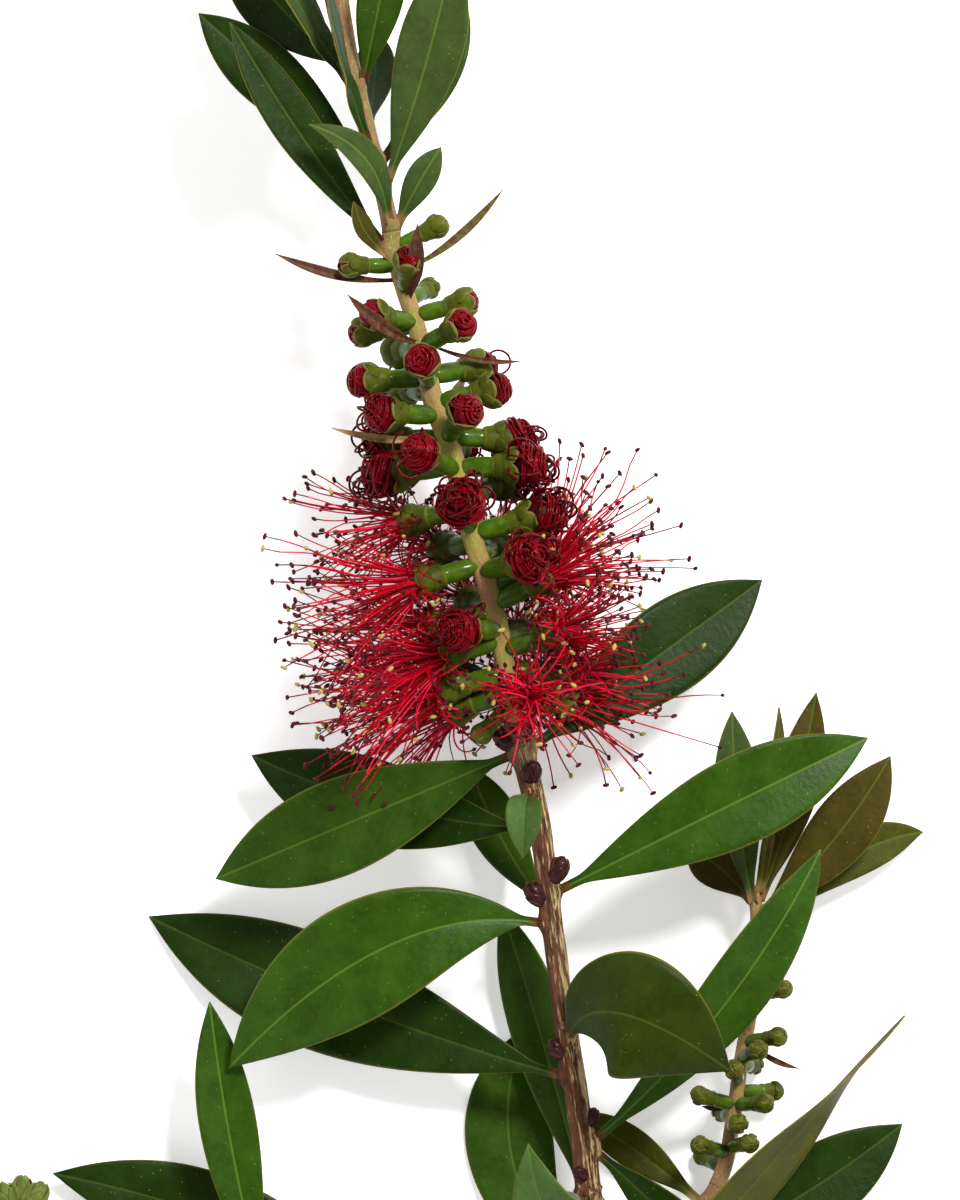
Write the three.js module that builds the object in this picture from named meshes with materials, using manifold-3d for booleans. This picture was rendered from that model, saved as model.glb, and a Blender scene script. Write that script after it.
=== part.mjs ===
// A cut flowering branch of a bottlebrush shrub, lying on a level surface.
//
// The main stem runs from its flat cut, through the flower spike, to a leafy tip. A side branch on
// the right carries a spike of closed buds, and a side shoot on the left ends in a leaf bud.
// Every full-size leaf is a piece of its own, carried by its petiole 0.3 mm clear of its stem.
//
// Millimetres. +Z is up from the surface at z = 0, and +Y runs along the branch to its tip.

import * as THREE from "three";
import { mergeVertices } from "three/addons/utils/BufferGeometryUtils.js";
import Module from "manifold-3d";

const wasm = await Module();
wasm.setup();

// ---------------------------------------------------------------- driving dimensions

const CLEAR = 0.3; // gap between pieces that touch
const ORIGIN = [-12.5, -2.5, 0]; // the point of the layout below that becomes the part's origin

const LEAF_THICK = 0.65;
const LEAF_STEPS = 7;
const PETIOLE_HALF_WIDTH = 0.6;
const PETIOLE_SHARE = 0.045; // share of a leaf's length that is petiole

const AXIL_LIFT = 50; // how far an axillary bud leans along its stem, in degrees
const TUBE_LENGTH = 4.2; // a flower's green tube, from the axis to its swollen calyx
const CALYX_LENGTH = 3.0;
const SMALLEST_BALL = 1.0; // radius of the stamens coiled in a green bud
const LARGEST_BALL = 3.5; // and in a flower about to open
const STAMEN_LENGTH = 25;
const STAMEN_RADIUS = 0.45;
const STAMENS_PER_FLOWER = 5;
const OPEN = 0.75; // flowers at least this open spread their stamens

// ---------------------------------------------------------------- layout

// Centrelines, as points from the thick end to the tip.
const AXIS = [
  [22.0, -126.0, 2.2],
  [20.6, -119.0, 3.4],
  [19.0, -109.5, 5.4],
  [16.5, -90.0, 9.0],
  [15.0, -78.0, 11.4],
  [12.8, -63.5, 14.2],
  [10.5, -46.0, 17.2],
  [8.9, -34.0, 19.4],
  [6.9, -24.9, 21.0],
  [5.1, -18.0, 22.2],
  [3.6, -9.0, 23.3],
  [1.7, 0.0, 24.2],
  [-1.2, 9.5, 24.8],
  [-3.8, 20.5, 25.0],
  [-7.4, 31.5, 25.0],
  [-9.3, 40.0, 25.0],
  [-12.4, 50.0, 25.0],
  [-14.0, 58.7, 25.0],
  [-16.3, 68.0, 25.0],
  [-19.4, 81.0, 24.6],
  [-21.2, 92.0, 23.6],
  [-22.6, 105.0, 22.0],
];
const RIGHT = [
  [18.9, -109.0, 5.5],
  [25.5, -103.0, 5.6],
  [31.0, -96.5, 6.2],
  [36.5, -87.0, 7.4],
  [38.2, -79.0, 8.2],
  [39.4, -70.0, 8.6],
  [41.2, -60.0, 8.8],
  [41.6, -50.0, 8.6],
  [41.7, -44.0, 8.2],
];
const LEFT = [
  [20.5, -118.4, 3.5],
  [6.0, -114.0, 4.4],
  [-12.0, -109.3, 5.0],
  [-27.0, -107.6, 5.2],
  [-42.0, -104.8, 5.2],
  [-57.0, -98.8, 5.2],
  [-66.6, -92.4, 5.4],
  [-69.5, -89.4, 5.8],
];

// Where the main axis changes: wood up to the spike, the spike, then the leafy tip.
const WOOD_END = -18.0;
const SPIKE_END = 55.0;
const BUDS_START = -88.6; // where the spike of closed buds starts on the right branch

// [place, radius] along each stem; the place is y on the axis and the right branch, x on the left.
const AXIS_RADII = [[-126, 2.2], [-90, 1.85], [-45, 1.6], [-24, 1.7], [-18, 1.9],
  [-16, 1.5], [30, 1.55], [50, 1.3], [60, 1.25], [75, 1.3], [92, 1.3], [105, 0.7]];
const RIGHT_RADII = [[-109, 1.4], [-90, 1.2], [-66, 1.1], [-50, 0.9], [-44, 0.6]];
const LEFT_RADII = [[-69.5, 0.6], [-50, 0.9], [0, 1.2], [20.5, 1.4]];

// Leaves: name, stem, place on it, tip, bow of the midrib's middle off the straight line, width,
// then roll of the blade about its midrib near the stem and at its tip, and rise of its two
// halves, in degrees.
const LEAVES = [
  ["main_01", "axis", -22.5, [42.5, 3.0, 13.0], [0.1, -0.05, -0.6], 13.4, 0, 0, 6],
  ["main_02", "axis", -22.8, [-39.8, -42.0, 13.0], [0.3, 0.2, 2.5], 14.2, 0, 0, 10],
  ["main_03", "axis", -34.0, [-34.5, -23.5, 8.0], [0, -2.4, -1.5], 13.0, 0, 0, 8],
  ["main_05", "axis", -46.5, [-1.6, -25.0, 0.6], [-1.0, -0.3, -4.0], 8.0, 0, 0, 0],
  ["main_06", "axis", -43.8, [58.2, -20.7, 19.0], [0.5, 0.45, 3.0], 13.2, 0, 0, 10],
  ["main_07", "axis", -48.3, [-37.8, -70.5, 12.5], [0.4, 7.6, 5.5], 17.2, 0, 0, 6],
  ["main_08", "axis", -71.5, [-50.3, -48.1, 0.4], [0, -1.8, -0.5], 16.8, 0, 0, 8],
  ["main_09", "axis", -90.5, [3.2, -46.4, 6.0], [0.5, 0, -1.0], 9.4, -20, -20, 0],
  ["main_11", "axis", -81.7, [51.3, -37.5, 14.5], [2.3, -1.6, 3.0], 9.9, 15, 15, 8],
  ["main_12", "axis", -83.6, [41.0, -109.0, 0.4], [0.5, 1.0, -1.0], 8.0, 0, 0, 8],
  ["main_13", "axis", -107.0, [7.0, -65.0, 0.6], [-6.9, 0, -1.4], 13.2, 0, 0, 0],
  ["main_15", "axis", -113.0, [63.8, -62.4, 19.0], [-1.0, 0.6, 5.0], 13.6, 16, 98, 4],
  ["main_17", "axis", -92.0, [34.0, -112.0, 0.4], [1.0, 1.0, -1.9], 8.0, 0, 0, 4],
  ["right_01", "right", -45.9, [38.0, -16.8, 12.0], [-0.8, 0, 1.0], 7.2, 20, 20, 14],
  ["right_02", "right", -44.4, [45.2, -16.2, 9.5], [0.4, 0, 0.6], 4.6, 60, 60, 10],
  ["right_03", "right", -45.4, [51.0, -14.0, 3.0], [0.8, -0.6, -0.8], 6.8, 0, 0, 6],
  ["right_04", "right", -47.2, [62.0, -23.6, 9.0], [0.9, -1.2, 0.8], 9.4, 0, 0, 6],
  ["right_05", "right", -49.5, [67.2, -35.2, 3.5], [0.5, 3.0, -0.8], 6.8, 0, 0, 4],
  ["right_06", "right", -45.6, [31.0, -36.6, 4.0], [0.4, 0.4, -0.5], 7.0, 0, 0, 6],
  ["right_07", "right", -99.0, [64.0, -79.4, 4.5], [0.6, -1.2, 0.5], 11.8, 0, 0, 8],
  ["right_08", "right", -103.4, [62.0, -104.0, 0.4], [1.0, 1.0, -0.5], 8.4, 0, 0, 6],
  ["right_09", "right", -91.6, [14.4, -77.6, 4.6], [0.4, 0.4, -2.3], 6.0, 0, 0, 6],
  ["left_01", "left", -32.5, [-40.8, -60.6, 11.0], [-0.85, 0, 1.5], 8.7, 10, 10, 8],
  ["left_02", "left", -12.0, [-64.8, -87.0, 3.0], [2.5, 2.2, -0.8], 13.2, 0, 0, 4],
  ["left_03", "left", 4.0, [-30.0, -122.0, 0.4], [0, -1.5, -0.5], 10.0, 0, 0, 8],
  ["left_04", "left", -46.0, [-80.0, -113.0, 1.0], [0, -2.0, 0], 9.0, 0, 0, 8],
  ["left_05", "left", -22.0, [-52.0, -124.0, 0.4], [0.5, -2.5, 0.5], 9.5, 0, 0, 8],
  ["left_06", "left", -59.0, [-92.0, -90.5, 2.0], [0, -1.5, 0.5], 8.0, 0, 0, 8],
  ["foot_01", "axis", -118.0, [62.0, -118.5, 0.6], [1.0, 2.0, 0.5], 11.0, 0, 0, 8],
  ["tip_01", "axis", 53.0, [-37.2, 86.0, 31.0], [-0.8, -0.4, 0], 7.2, 15, 15, 10],
  ["tip_02", "axis", 65.5, [-42.2, 88.0, 20.0], [-0.3, 0.2, -0.5], 9.4, 0, 0, 6],
  ["tip_03", "axis", 80.0, [-38.5, 100.0, 16.0], [0, -1.5, -1.0], 10.5, 0, 0, 6],
  ["tip_04", "axis", 78.0, [-34.5, 101.5, 29.0], [0, -0.8, 0.5], 7.6, 50, 70, 10],
  ["tip_05", "axis", 68.0, [-24.2, 98.0, 32.0], [-0.9, 0, 0.4], 6.6, 76, 80, 8],
  ["tip_06", "axis", 77.0, [-12.9, 99.0, 29.0], [0, 0, 1.0], 6.8, 0, 0, 12],
  ["tip_07", "axis", 62.4, [-3.9, 96.8, 31.0], [0.7, 0, 1.0], 9.8, 0, 0, 10],
  ["tip_08", "axis", 65.5, [-3.3, 93.0, 21.0], [1.6, -1.0, -1.0], 8.2, 0, 0, 8],
  ["tip_09", "axis", 55.8, [-5.8, 67.6, 27.0], [-0.2, 0.2, 1.0], 4.6, 0, 0, 12],
  ["tip_11", "axis", 51.8, [-18.8, 59.4, 29.0], [-0.9, -0.6, 0.6], 3.4, 30, 40, 14],
  ["tip_13", "axis", 71.0, [-15.8, 86.0, 11.0], [0.4, 0, -2.0], 6.0, 0, 0, 6],
  ["tip_15", "axis", 90.0, [-36.0, 113.0, 20.0], [0, -1.0, 0], 7.0, 0, 0, 8],
  ["tip_16", "axis", 93.5, [-9.5, 115.0, 23.0], [0.5, -1.0, 0.5], 7.0, 0, 0, 8],
  ["tip_17", "axis", 97.5, [-28.5, 119.0, 31.0], [0, 0, 1.0], 5.6, 40, 40, 8],
  ["tip_18", "axis", 100.0, [-18.0, 121.5, 15.0], [0.5, 0, -1.0], 5.6, 0, 0, 8],
];

// Leaves that turn towards the eye of someone looking down: their midrib is given by two more
// points, and their blade faces the stated way.
const TURNED_LEAVES = [
  ["main_04", "axis", -28.6, [[6.5, -30.8, 27.0], [6.6, -30.4, 31.4]], [6.4, -38.6, 25.6],
    [-0.01, 0.38, 0.93], 5.4, 26],
  ["main_10", "axis", -65.2, [[15.0, -60.2, 25.1], [21.6, -58.8, 32.1]],
    [37.5, -70.5, 24.3], [-0.19, 0.01, 0.98], 19.0, -3],
  ["main_14", "axis", -89.2, [[13.5, -94.3, 15.9], [9.1, -96.2, 22.7]], [7.2, -81.3, 25.2],
    [-0.1, -0.06, 0.99], 10.0, 13],
  ["tip_10", "axis", 56.6, [[-14.6, 62.0, 31.0], [-15.6, 67.4, 34.5]], [-25.4, 70.6, 35.5],
    [0.2, 0.3, 0.9], 4.8, 14],
];

const YOUNG_LEAVES = ["main_15", "right_01", "right_02", "right_03", "right_04", "right_05",
  "right_06", "right_09", "tip_04", "tip_07", "tip_09", "tip_10", "tip_11", "tip_17", "tip_18"];

// Flowers up the spike: [place on the axis, turn about it with 0 facing up and 90 to the right,
// lift off square, openness from 0, a green bud, to 1].
const FLOWERS = [
  [52.4, 92, 18, 0.12], [49.9, -72, 14, 0.12], [46.3, 16, 29, 0.24], [44.7, 148, 8, 0.05],
  [42.4, 92, -3, 0.25], [41.4, -44, 20, 0.3], [40.9, -90, 10, 0.25], [37.8, 49, 12, 0.35],
  [37.4, -155, 5, 0.35], [33.5, 121, -2, 0.45], [32.3, -1, 22, 0.38], [33.3, -89, 9, 0.45],
  [31.0, -155, 12, 0.5], [29.4, 89, -5, 0.42], [27.6, -59, 18, 0.5], [24.6, 107, -22, 0.64],
  [24.1, 27, 19, 0.42], [24.1, -114, 17, 0.6], [21.8, 178, 5, 0.7], [19.8, 83, -13, 0.66],
  [19.4, -31, 23, 0.52], [20.2, -90, 6, 0.66], [15.6, 138, 5, 0.7], [13.6, -112, 0, 0.9],
  [10.8, -2, 22, 0.7], [9.9, 90, 0, 0.72], [8.3, -150, 4, 0.9], [6.8, 160, 0, 0.95],
  [5.3, -84, 2, 1], [4.2, 39, 2, 0.74], [1.5, 122, 5, 1], [-0.5, -160, 0, 1],
  [-0.8, 84, 14, 0.84], [-2.0, -104, -2, 1], [-4.4, -34, 10, 0.6], [-6.0, -74, -3, 1],
  [-6.8, 160, 0, 1], [-7.5, 72, 8, 0.78], [-10.5, 108, -14, 0.82], [-11.2, -90, -3, 1],
  [-12.2, -142, 0, 1], [-13.2, 18, -4, 0.78], [-12.7, 104, -25, 1], [-13.8, -112, -12, 1],
  [-15.0, 165, -4, 1], [-15.6, -52, -26, 0.05],
];

// Narrow bracts in the spike: [place, turn, lift, length, width].
const BRACTS = [
  [48.9, 84, 17, 18, 1.3], [47.8, -84, 23, 17, 1.5], [44.8, 22, 32, 14, 2.5],
  [38.2, -35, 25, 15.8, 2.0], [38.8, 96, -30, 15, 0.9], [35.0, -140, -20, 9, 1.6],
  [24.6, -86, 17, 15, 1.2], [29.0, 150, 10, 10, 1.5],
];

// Closed buds up the right branch: [place on it, turn, lift].
const GREEN_BUDS = [
  [-57.8, 150, 10], [-59.9, 43, 16], [-62.5, -150, 8], [-66.9, 48, 19], [-69.3, 20, 19],
  [-70.4, 160, 0], [-72.5, -10, 17], [-74.3, 120, 4], [-76.3, 41, 11], [-76.3, -59, 9],
  [-78.4, -165, 0], [-79.7, 6, 13], [-82.7, 26, 17], [-83.6, -43, 9], [-86.0, -150, 0],
];

// Brown scaly buds on the wood, one above each petiole: [place, turn, size].
const AXIL_BUDS = [
  [-22.4, -84, 1.05], [-21.6, 88, 0.75], [-27.6, 22, 0.95], [-42.8, 78, 1.1],
  [-45.9, -78, 1.05], [-63.8, 50, 0.8], [-69.2, -72, 0.9], [-80.2, 82, 0.8], [-88.2, -30, 0.75],
  [-105.6, -150, 0.9],
];

// Scales of the leaf bud that ends the left shoot: [offset from its end, turn from upright].
const END_SCALES = [[[0, -1.6, 0], 4], [[-1.7, -2.4, 0.4], -22], [[1.6, -2.2, 0.6], 30]];

// ---------------------------------------------------------------- small tools

const UP = new THREE.Vector3(0, 0, 1);
const ALONG = new THREE.Vector3(0, 1, 0);
const vec = (p) => new THREE.Vector3(...p);
const radians = THREE.MathUtils.degToRad;
const lerp = THREE.MathUtils.lerp;

/** Random numbers from 0 to 1 that are the same on each run. */
function seeded(seed) {
  let s = seed;
  return () => {
    s = (s * 1664525 + 1013904223) % 4294967296;
    return s / 4294967296;
  };
}

/** The value at x of a line through [x, value] stations. */
function stations(list, x) {
  const after = list.findIndex(([at]) => at >= x);
  if (after === 0) return list[0][1];
  if (after < 0) return list.at(-1)[1];
  const [x0, v0] = list[after - 1];
  const [x1, v1] = list[after];
  return lerp(v0, v1, (x - x0) / (x1 - x0));
}

/** A stem: its curve, the coordinate that places are given in, and its radii. */
function stem(points, coordinate, radii) {
  const curve = new THREE.CatmullRomCurve3(points.map(vec));
  const rising = points.at(-1)[coordinate === "x" ? 0 : 1] > points[0][coordinate === "x" ? 0 : 1];
  const share = (place) => {
    let [low, high] = [0, 1];
    for (let i = 0; i < 40; i++) {
      const middle = (low + high) / 2;
      if (curve.getPoint(middle)[coordinate] < place === rising) low = middle;
      else high = middle;
    }
    return low;
  };
  return { curve, share, radius: (place) => stations(radii, place), coordinate };
}

const STEMS = {
  axis: stem(AXIS, "y", AXIS_RADII),
  right: stem(RIGHT, "y", RIGHT_RADII),
  left: stem(LEFT, "x", LEFT_RADII),
};

/** The point and direction of a stem at a place, and the unit vector at a turn and lift there. */
function seat(on, place, turn = 0, lift = 0) {
  const t = on.share(place);
  const along = on.curve.getTangent(t);
  const up = UP.clone().addScaledVector(along, -along.z).normalize();
  const right = along.clone().cross(up);
  const out = up.multiplyScalar(Math.cos(radians(turn)))
    .addScaledVector(right, Math.sin(radians(turn)))
    .multiplyScalar(Math.cos(radians(lift)))
    .addScaledVector(along, Math.sin(radians(lift)));
  return { point: on.curve.getPoint(t), along, out, radius: on.radius(place) };
}

/** The place where a side stem starts, so that its end is CLEAR of the main stem it leaves. */
function startOf(on) {
  const joint = on.curve.getPoint(0);
  const parent = seat(STEMS.axis, joint.y);
  const angle = on.curve.getTangent(0).angleTo(parent.along);
  const corner = on.radius(joint[on.coordinate]) * Math.cos(angle);
  const distance = (parent.radius + CLEAR + corner) / Math.sin(angle);
  return on.curve.getPointAt(distance / on.curve.getLength())[on.coordinate];
}

/** A closed geometry as a solid that faces out. */
function solid(geometry) {
  const bare = geometry.clone();
  bare.deleteAttribute("normal");
  bare.deleteAttribute("uv");
  const merged = mergeVertices(bare, 1e-4);
  const faces = [];
  const index = merged.index.array;
  for (let i = 0; i < index.length; i += 3) {
    const [a, b, c] = index.slice(i, i + 3);
    if (a !== b && b !== c && c !== a) faces.push(a, b, c);
  }
  const build = (triVerts) => new wasm.Manifold(new wasm.Mesh({
    numProp: 3,
    vertProperties: new Float32Array(merged.attributes.position.array),
    triVerts: new Uint32Array(triVerts),
  }));
  const made = build(faces);
  return made.volume() < 0 ? build(faces.reverse()) : made;
}

/** A solid as a geometry for a mesh. */
function geometryOf(made) {
  const mesh = made.getMesh();
  const points = new Float32Array(mesh.numVert * 3);
  for (let i = 0; i < mesh.numVert; i++) {
    points.set(mesh.vertProperties.subarray(i * mesh.numProp, i * mesh.numProp + 3), i * 3);
  }
  const geometry = new THREE.BufferGeometry();
  geometry.setAttribute("position", new THREE.BufferAttribute(points, 3));
  geometry.setIndex(new THREE.BufferAttribute(new Uint32Array(mesh.triVerts), 1));
  const loose = geometry.toNonIndexed();
  loose.computeVertexNormals();
  return loose;
}

const fuse = (solids) => solids.reduce((all, next) => all.add(next));

/** Moves each vertex by a function of its own position. */
function shape(geometry, move) {
  const place = geometry.attributes.position;
  const p = new THREE.Vector3();
  for (let i = 0; i < place.count; i++) {
    p.fromBufferAttribute(place, i);
    place.setXYZ(i, ...move(p).toArray());
  }
  return geometry;
}

/** A limb round a curve: its radius is a function of the share along it. */
function limb(curve, radiusAt, sides, steps, from = 0, to = 1, reference = UP) {
  const tube = new THREE.CylinderGeometry(1, 1, 1, sides, steps);
  return shape(tube, (p) => {
    const share = p.y + 0.5;
    const t = lerp(from, to, share);
    const along = curve.getTangent(t);
    const b = reference.clone().addScaledVector(along, -along.dot(reference)).normalize();
    const a = along.clone().cross(b);
    const r = radiusAt(share, t);
    return curve.getPoint(t).addScaledVector(a, p.x * r).addScaledVector(b, p.z * r);
  });
}

/** A stretch of a stem between two places. */
function stretch(on, first, last, sides, steps) {
  return solid(limb(on.curve, (_, t) => on.radius(on.curve.getPoint(t)[on.coordinate]),
    sides, steps, on.share(first), on.share(last)));
}

/** Turns a geometry that stands along +Y to point along a direction, and moves it to a point. */
function aim(geometry, direction, point) {
  geometry.applyQuaternion(new THREE.Quaternion().setFromUnitVectors(ALONG, direction));
  return geometry.translate(...point.toArray());
}

/** A lathed body from [radius, height] pairs that start and end on its axis. */
const lathe = (profile, sides) =>
  new THREE.LatheGeometry(profile.map((p) => new THREE.Vector2(...p)), sides);

// ---------------------------------------------------------------- leaves

const OUTLINE_PEAK = 0.4007; // the greatest value of the curve below before it is divided by it

/** Half the width of a leaf at a share of its length, as a share of its widest half. */
function outline(t) {
  const s = Math.max(0, (t - PETIOLE_SHARE) / (1 - PETIOLE_SHARE));
  return s ** 0.95 * (1 - s ** 2.1) / OUTLINE_PEAK;
}

/** A blade of even thickness along a midrib, facing the stated way. */
function blade(midrib, width, face, nearRoll, farRoll, rise) {
  const slab = new THREE.BoxGeometry(2, 1, 1, 2, 1, LEAF_STEPS);
  return shape(slab, (p) => {
    const t = p.z + 0.5;
    const along = midrib.getTangent(t);
    const normal = face.clone().addScaledVector(along, -along.dot(face)).normalize();
    normal.applyAxisAngle(along, radians(lerp(nearRoll, farRoll, t) * Math.min(1, t * 3)));
    const side = normal.clone().cross(along);
    const half = Math.max(t < 0.5 ? PETIOLE_HALF_WIDTH : 0.18, outline(t) * width / 2);
    const lifted = half * Math.abs(p.x) * Math.tan(radians(rise));
    const made = midrib.getPoint(t)
      .addScaledVector(side, p.x * half)
      .addScaledVector(normal, lifted + p.y * LEAF_THICK);
    made.z = Math.max(made.z, (p.y + 0.5) * LEAF_THICK);
    return made;
  });
}

/** Where a petiole starts so that it stays CLEAR of its stem, on the side that faces a target. */
function petioleFoot(on, place, target, face) {
  const { point, along, radius } = seat(on, place);
  const towards = target.clone().sub(point);
  const out = towards.clone().addScaledVector(along, -towards.dot(along)).normalize();
  towards.normalize();
  const normal = face.clone().addScaledVector(towards, -towards.dot(face)).normalize();
  const side = normal.clone().cross(towards);
  const corner = PETIOLE_HALF_WIDTH * Math.abs(side.dot(out))
    + LEAF_THICK / 2 * Math.abs(normal.dot(out));
  return point.addScaledVector(out, radius + CLEAR + corner);
}

function leaf([, on, place, tip, bow, width, nearRoll, farRoll, rise]) {
  const end = vec(tip);
  const foot = petioleFoot(STEMS[on], place, end.clone().addScaledVector(vec(bow), 2), UP);
  const middle = foot.clone().add(end).multiplyScalar(0.5).addScaledVector(vec(bow), 2);
  const midrib = new THREE.QuadraticBezierCurve3(foot, middle, end);
  return blade(midrib, width, UP, nearRoll, farRoll, rise);
}

function turnedLeaf([, on, place, [near, far], tip, face, width, rise]) {
  const facing = vec(face).normalize();
  const foot = petioleFoot(STEMS[on], place, vec(near), facing);
  const midrib = new THREE.CubicBezierCurve3(foot, vec(near), vec(far), vec(tip));
  return blade(midrib, width, facing, 0, 0, rise);
}

// ---------------------------------------------------------------- flowers

/** How much smaller a flower is when it is younger. */
const grown = (openness) => lerp(0.72, 1, Math.min(1, openness * 2.2));

/** A flower's green tube and calyx, its foot sunk in the axis. */
function cup(where, size) {
  const foot = where.radius * 0.85;
  const mouth = where.radius + (TUBE_LENGTH + CALYX_LENGTH) * size;
  const profile = [[0, foot], [1.2 * size, foot], [1.45 * size, where.radius + TUBE_LENGTH * size],
    [2.5 * size, mouth], [0, mouth]];
  return aim(lathe(profile, 6), where.out, where.point);
}

/** A straight stamen from a point, in a direction, with its tip no lower than the floor. */
function stamen(start, direction, length) {
  const tip = start.clone().addScaledVector(direction, length);
  tip.z = Math.max(tip.z, STAMEN_RADIUS);
  const reference = Math.abs(direction.z) > 0.8 ? ALONG : UP;
  return limb(new THREE.LineCurve3(start, tip), () => STAMEN_RADIUS, 3, 1, 0, 1, reference);
}

/** Directions spread evenly over a cone round an axis. */
function fan(axis, count, halfAngle, turnBy) {
  const turn = new THREE.Quaternion().setFromUnitVectors(ALONG, axis);
  const golden = Math.PI * (3 - Math.sqrt(5));
  return Array.from({ length: count }, (_, i) => {
    const off = halfAngle * Math.sqrt((i + 0.5) / count);
    const round = i * golden + turnBy;
    return new THREE.Vector3(Math.sin(off) * Math.cos(round), Math.cos(off),
      Math.sin(off) * Math.sin(round)).applyQuaternion(turn);
  });
}

/** A flower's cup and, on one that has not opened, the ball of stamens coiled in it. */
function flower([place, turn, lift, openness]) {
  const where = seat(STEMS.axis, place, turn, lift);
  const size = grown(openness);
  const parts = [solid(cup(where, size))];
  if (openness < OPEN) {
    const radius = lerp(SMALLEST_BALL, LARGEST_BALL, Math.min(1, openness * 1.4));
    const rise = radius * lerp(0.25, 0.6, THREE.MathUtils.smoothstep(openness, 0.42, 0.72));
    const reach = where.radius + (TUBE_LENGTH + CALYX_LENGTH) * size + rise;
    const ball = new THREE.SphereGeometry(radius, 5, 4);
    parts.push(solid(aim(ball, where.out, where.point.clone().addScaledVector(where.out, reach))));
  }
  return parts;
}

/** The brush of an open flower: a core where its stamens crowd, then those that spread from it. */
function brush([place, turn, lift, openness], number) {
  if (openness < OPEN) return [];
  const random = seeded(100 + number);
  const where = seat(STEMS.axis, place, turn, lift);
  const mouth = where.radius + TUBE_LENGTH + CALYX_LENGTH;
  const crowd = [[0, mouth - 1.5], [1.9, mouth - 1], [3.2, mouth + 4], [0, mouth + 10]];
  const start = where.point.clone().addScaledVector(where.out, mouth - 1);
  const done = (openness - OPEN) / (1 - OPEN);
  const length = STAMEN_LENGTH * lerp(0.5, 1, done);
  const stamens = fan(where.out, STAMENS_PER_FLOWER, radians(lerp(28, 42, done)), number)
    .map((direction) => stamen(start, direction, length * lerp(0.86, 1.04, random())));
  return [aim(lathe(crowd, 6), where.out, where.point), ...stamens].map(solid);
}

/** A narrow bract, its foot sunk in the axis. */
function bract([place, turn, lift, length, width]) {
  const where = seat(STEMS.axis, place, turn, lift);
  const end = where.point.clone().addScaledVector(where.out, length + where.radius)
    .addScaledVector(where.along, length * 0.12);
  const middle = where.point.clone().add(end).multiplyScalar(0.5)
    .addScaledVector(where.along, -length * 0.16);
  const midrib = new THREE.QuadraticBezierCurve3(where.point, middle, end);
  const profile = (share) => lerp(width * 0.36, 0.25, Math.abs(share - 0.4) / 0.6);
  return solid(limb(midrib, profile, 4, 4, 0.02, 1));
}

/** The flower spike: its axis with every flower and bract fused on, clear of the pieces given. */
function spike(others) {
  const axis = stretch(STEMS.axis, WOOD_END + CLEAR, SPIKE_END - CLEAR, 6, 14);
  const free = (piece) => others.every((other) => piece.minGap(other, 1) > CLEAR);
  const brushes = FLOWERS.flatMap(brush).filter(free);
  return fuse([axis, ...FLOWERS.flatMap(flower), ...BRACTS.map(bract), ...brushes]);
}

// ---------------------------------------------------------------- stems

/** A scaly bud in a leaf's axil, pressed up against its stem. */
function axilBud([place, turn, size]) {
  const where = seat(STEMS.axis, place, turn, AXIL_LIFT);
  const profile = [[0, -1], [1.1, -0.4], [1.5, 1.2], [1.0, 2.9], [0, 3.8]]
    .map(([r, h]) => [r * size, h * size + where.radius * 0.9]);
  return solid(aim(lathe(profile, 6), where.out, where.point));
}

function mainStem() {
  const wood = stretch(STEMS.axis, AXIS[0][1], WOOD_END, 9, 20);
  return fuse([wood, ...AXIL_BUDS.map(axilBud)]);
}

/** A closed green bud on the right branch. */
function greenBud([place, turn, lift]) {
  const where = seat(STEMS.right, place, turn, lift);
  const profile = [[0, 0.7], [1.0, 0.7], [1.1, 4.4], [1.8, 6.0], [1.2, 7.8], [0, 8.1]];
  return solid(aim(lathe(profile, 6), where.out, where.point));
}

function budSpike() {
  const axis = stretch(STEMS.right, BUDS_START, RIGHT.at(-1)[1], 8, 14);
  return fuse([axis, ...GREEN_BUDS.map(greenBud)]);
}

/** The left shoot with the scales of its end bud. */
function leftShoot() {
  const axis = stretch(STEMS.left, startOf(STEMS.left), LEFT.at(-1)[0], 8, 12);
  const scales = END_SCALES.map(([offset, turn]) => {
    const profile = [[0, -1.2], [1.4, 0], [1.6, 1.5], [0.9, 3.3], [0, 4.1]];
    const direction = new THREE.Vector3(Math.sin(radians(turn)), Math.cos(radians(turn)), 0.15);
    return solid(aim(lathe(profile, 7), direction.normalize(), vec(LEFT.at(-1)).add(vec(offset))));
  });
  return fuse([axis, ...scales]);
}

// ---------------------------------------------------------------- assembly

const FINISH = {
  wood: { color: 0x6b4a38, roughness: 0.75 },
  shoot: { color: 0x9a7a50, roughness: 0.65 },
  leaf: { color: 0x2f5a1a, roughness: 0.42 },
  young: { color: 0x5b5a22, roughness: 0.5 },
  spike: { color: 0xa8141f, roughness: 0.5 },
  buds: { color: 0x4e6b2c, roughness: 0.55 },
};

const part = new THREE.Group();
part.position.set(...ORIGIN.map((v) => -v));

function add(name, made, finish) {
  const mesh = new THREE.Mesh(
    geometryOf(made),
    new THREE.MeshStandardMaterial({ ...FINISH[finish], metalness: 0 }),
  );
  mesh.name = name;
  part.add(mesh);
}

const leaves = [
  ...LEAVES.map((row) => [row[0], solid(leaf(row))]),
  ...TURNED_LEAVES.map((row) => [row[0], solid(turnedLeaf(row))]),
];

const wood = mainStem();
const tip = stretch(STEMS.axis, SPIKE_END, AXIS.at(-1)[1], 8, 10);

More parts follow.
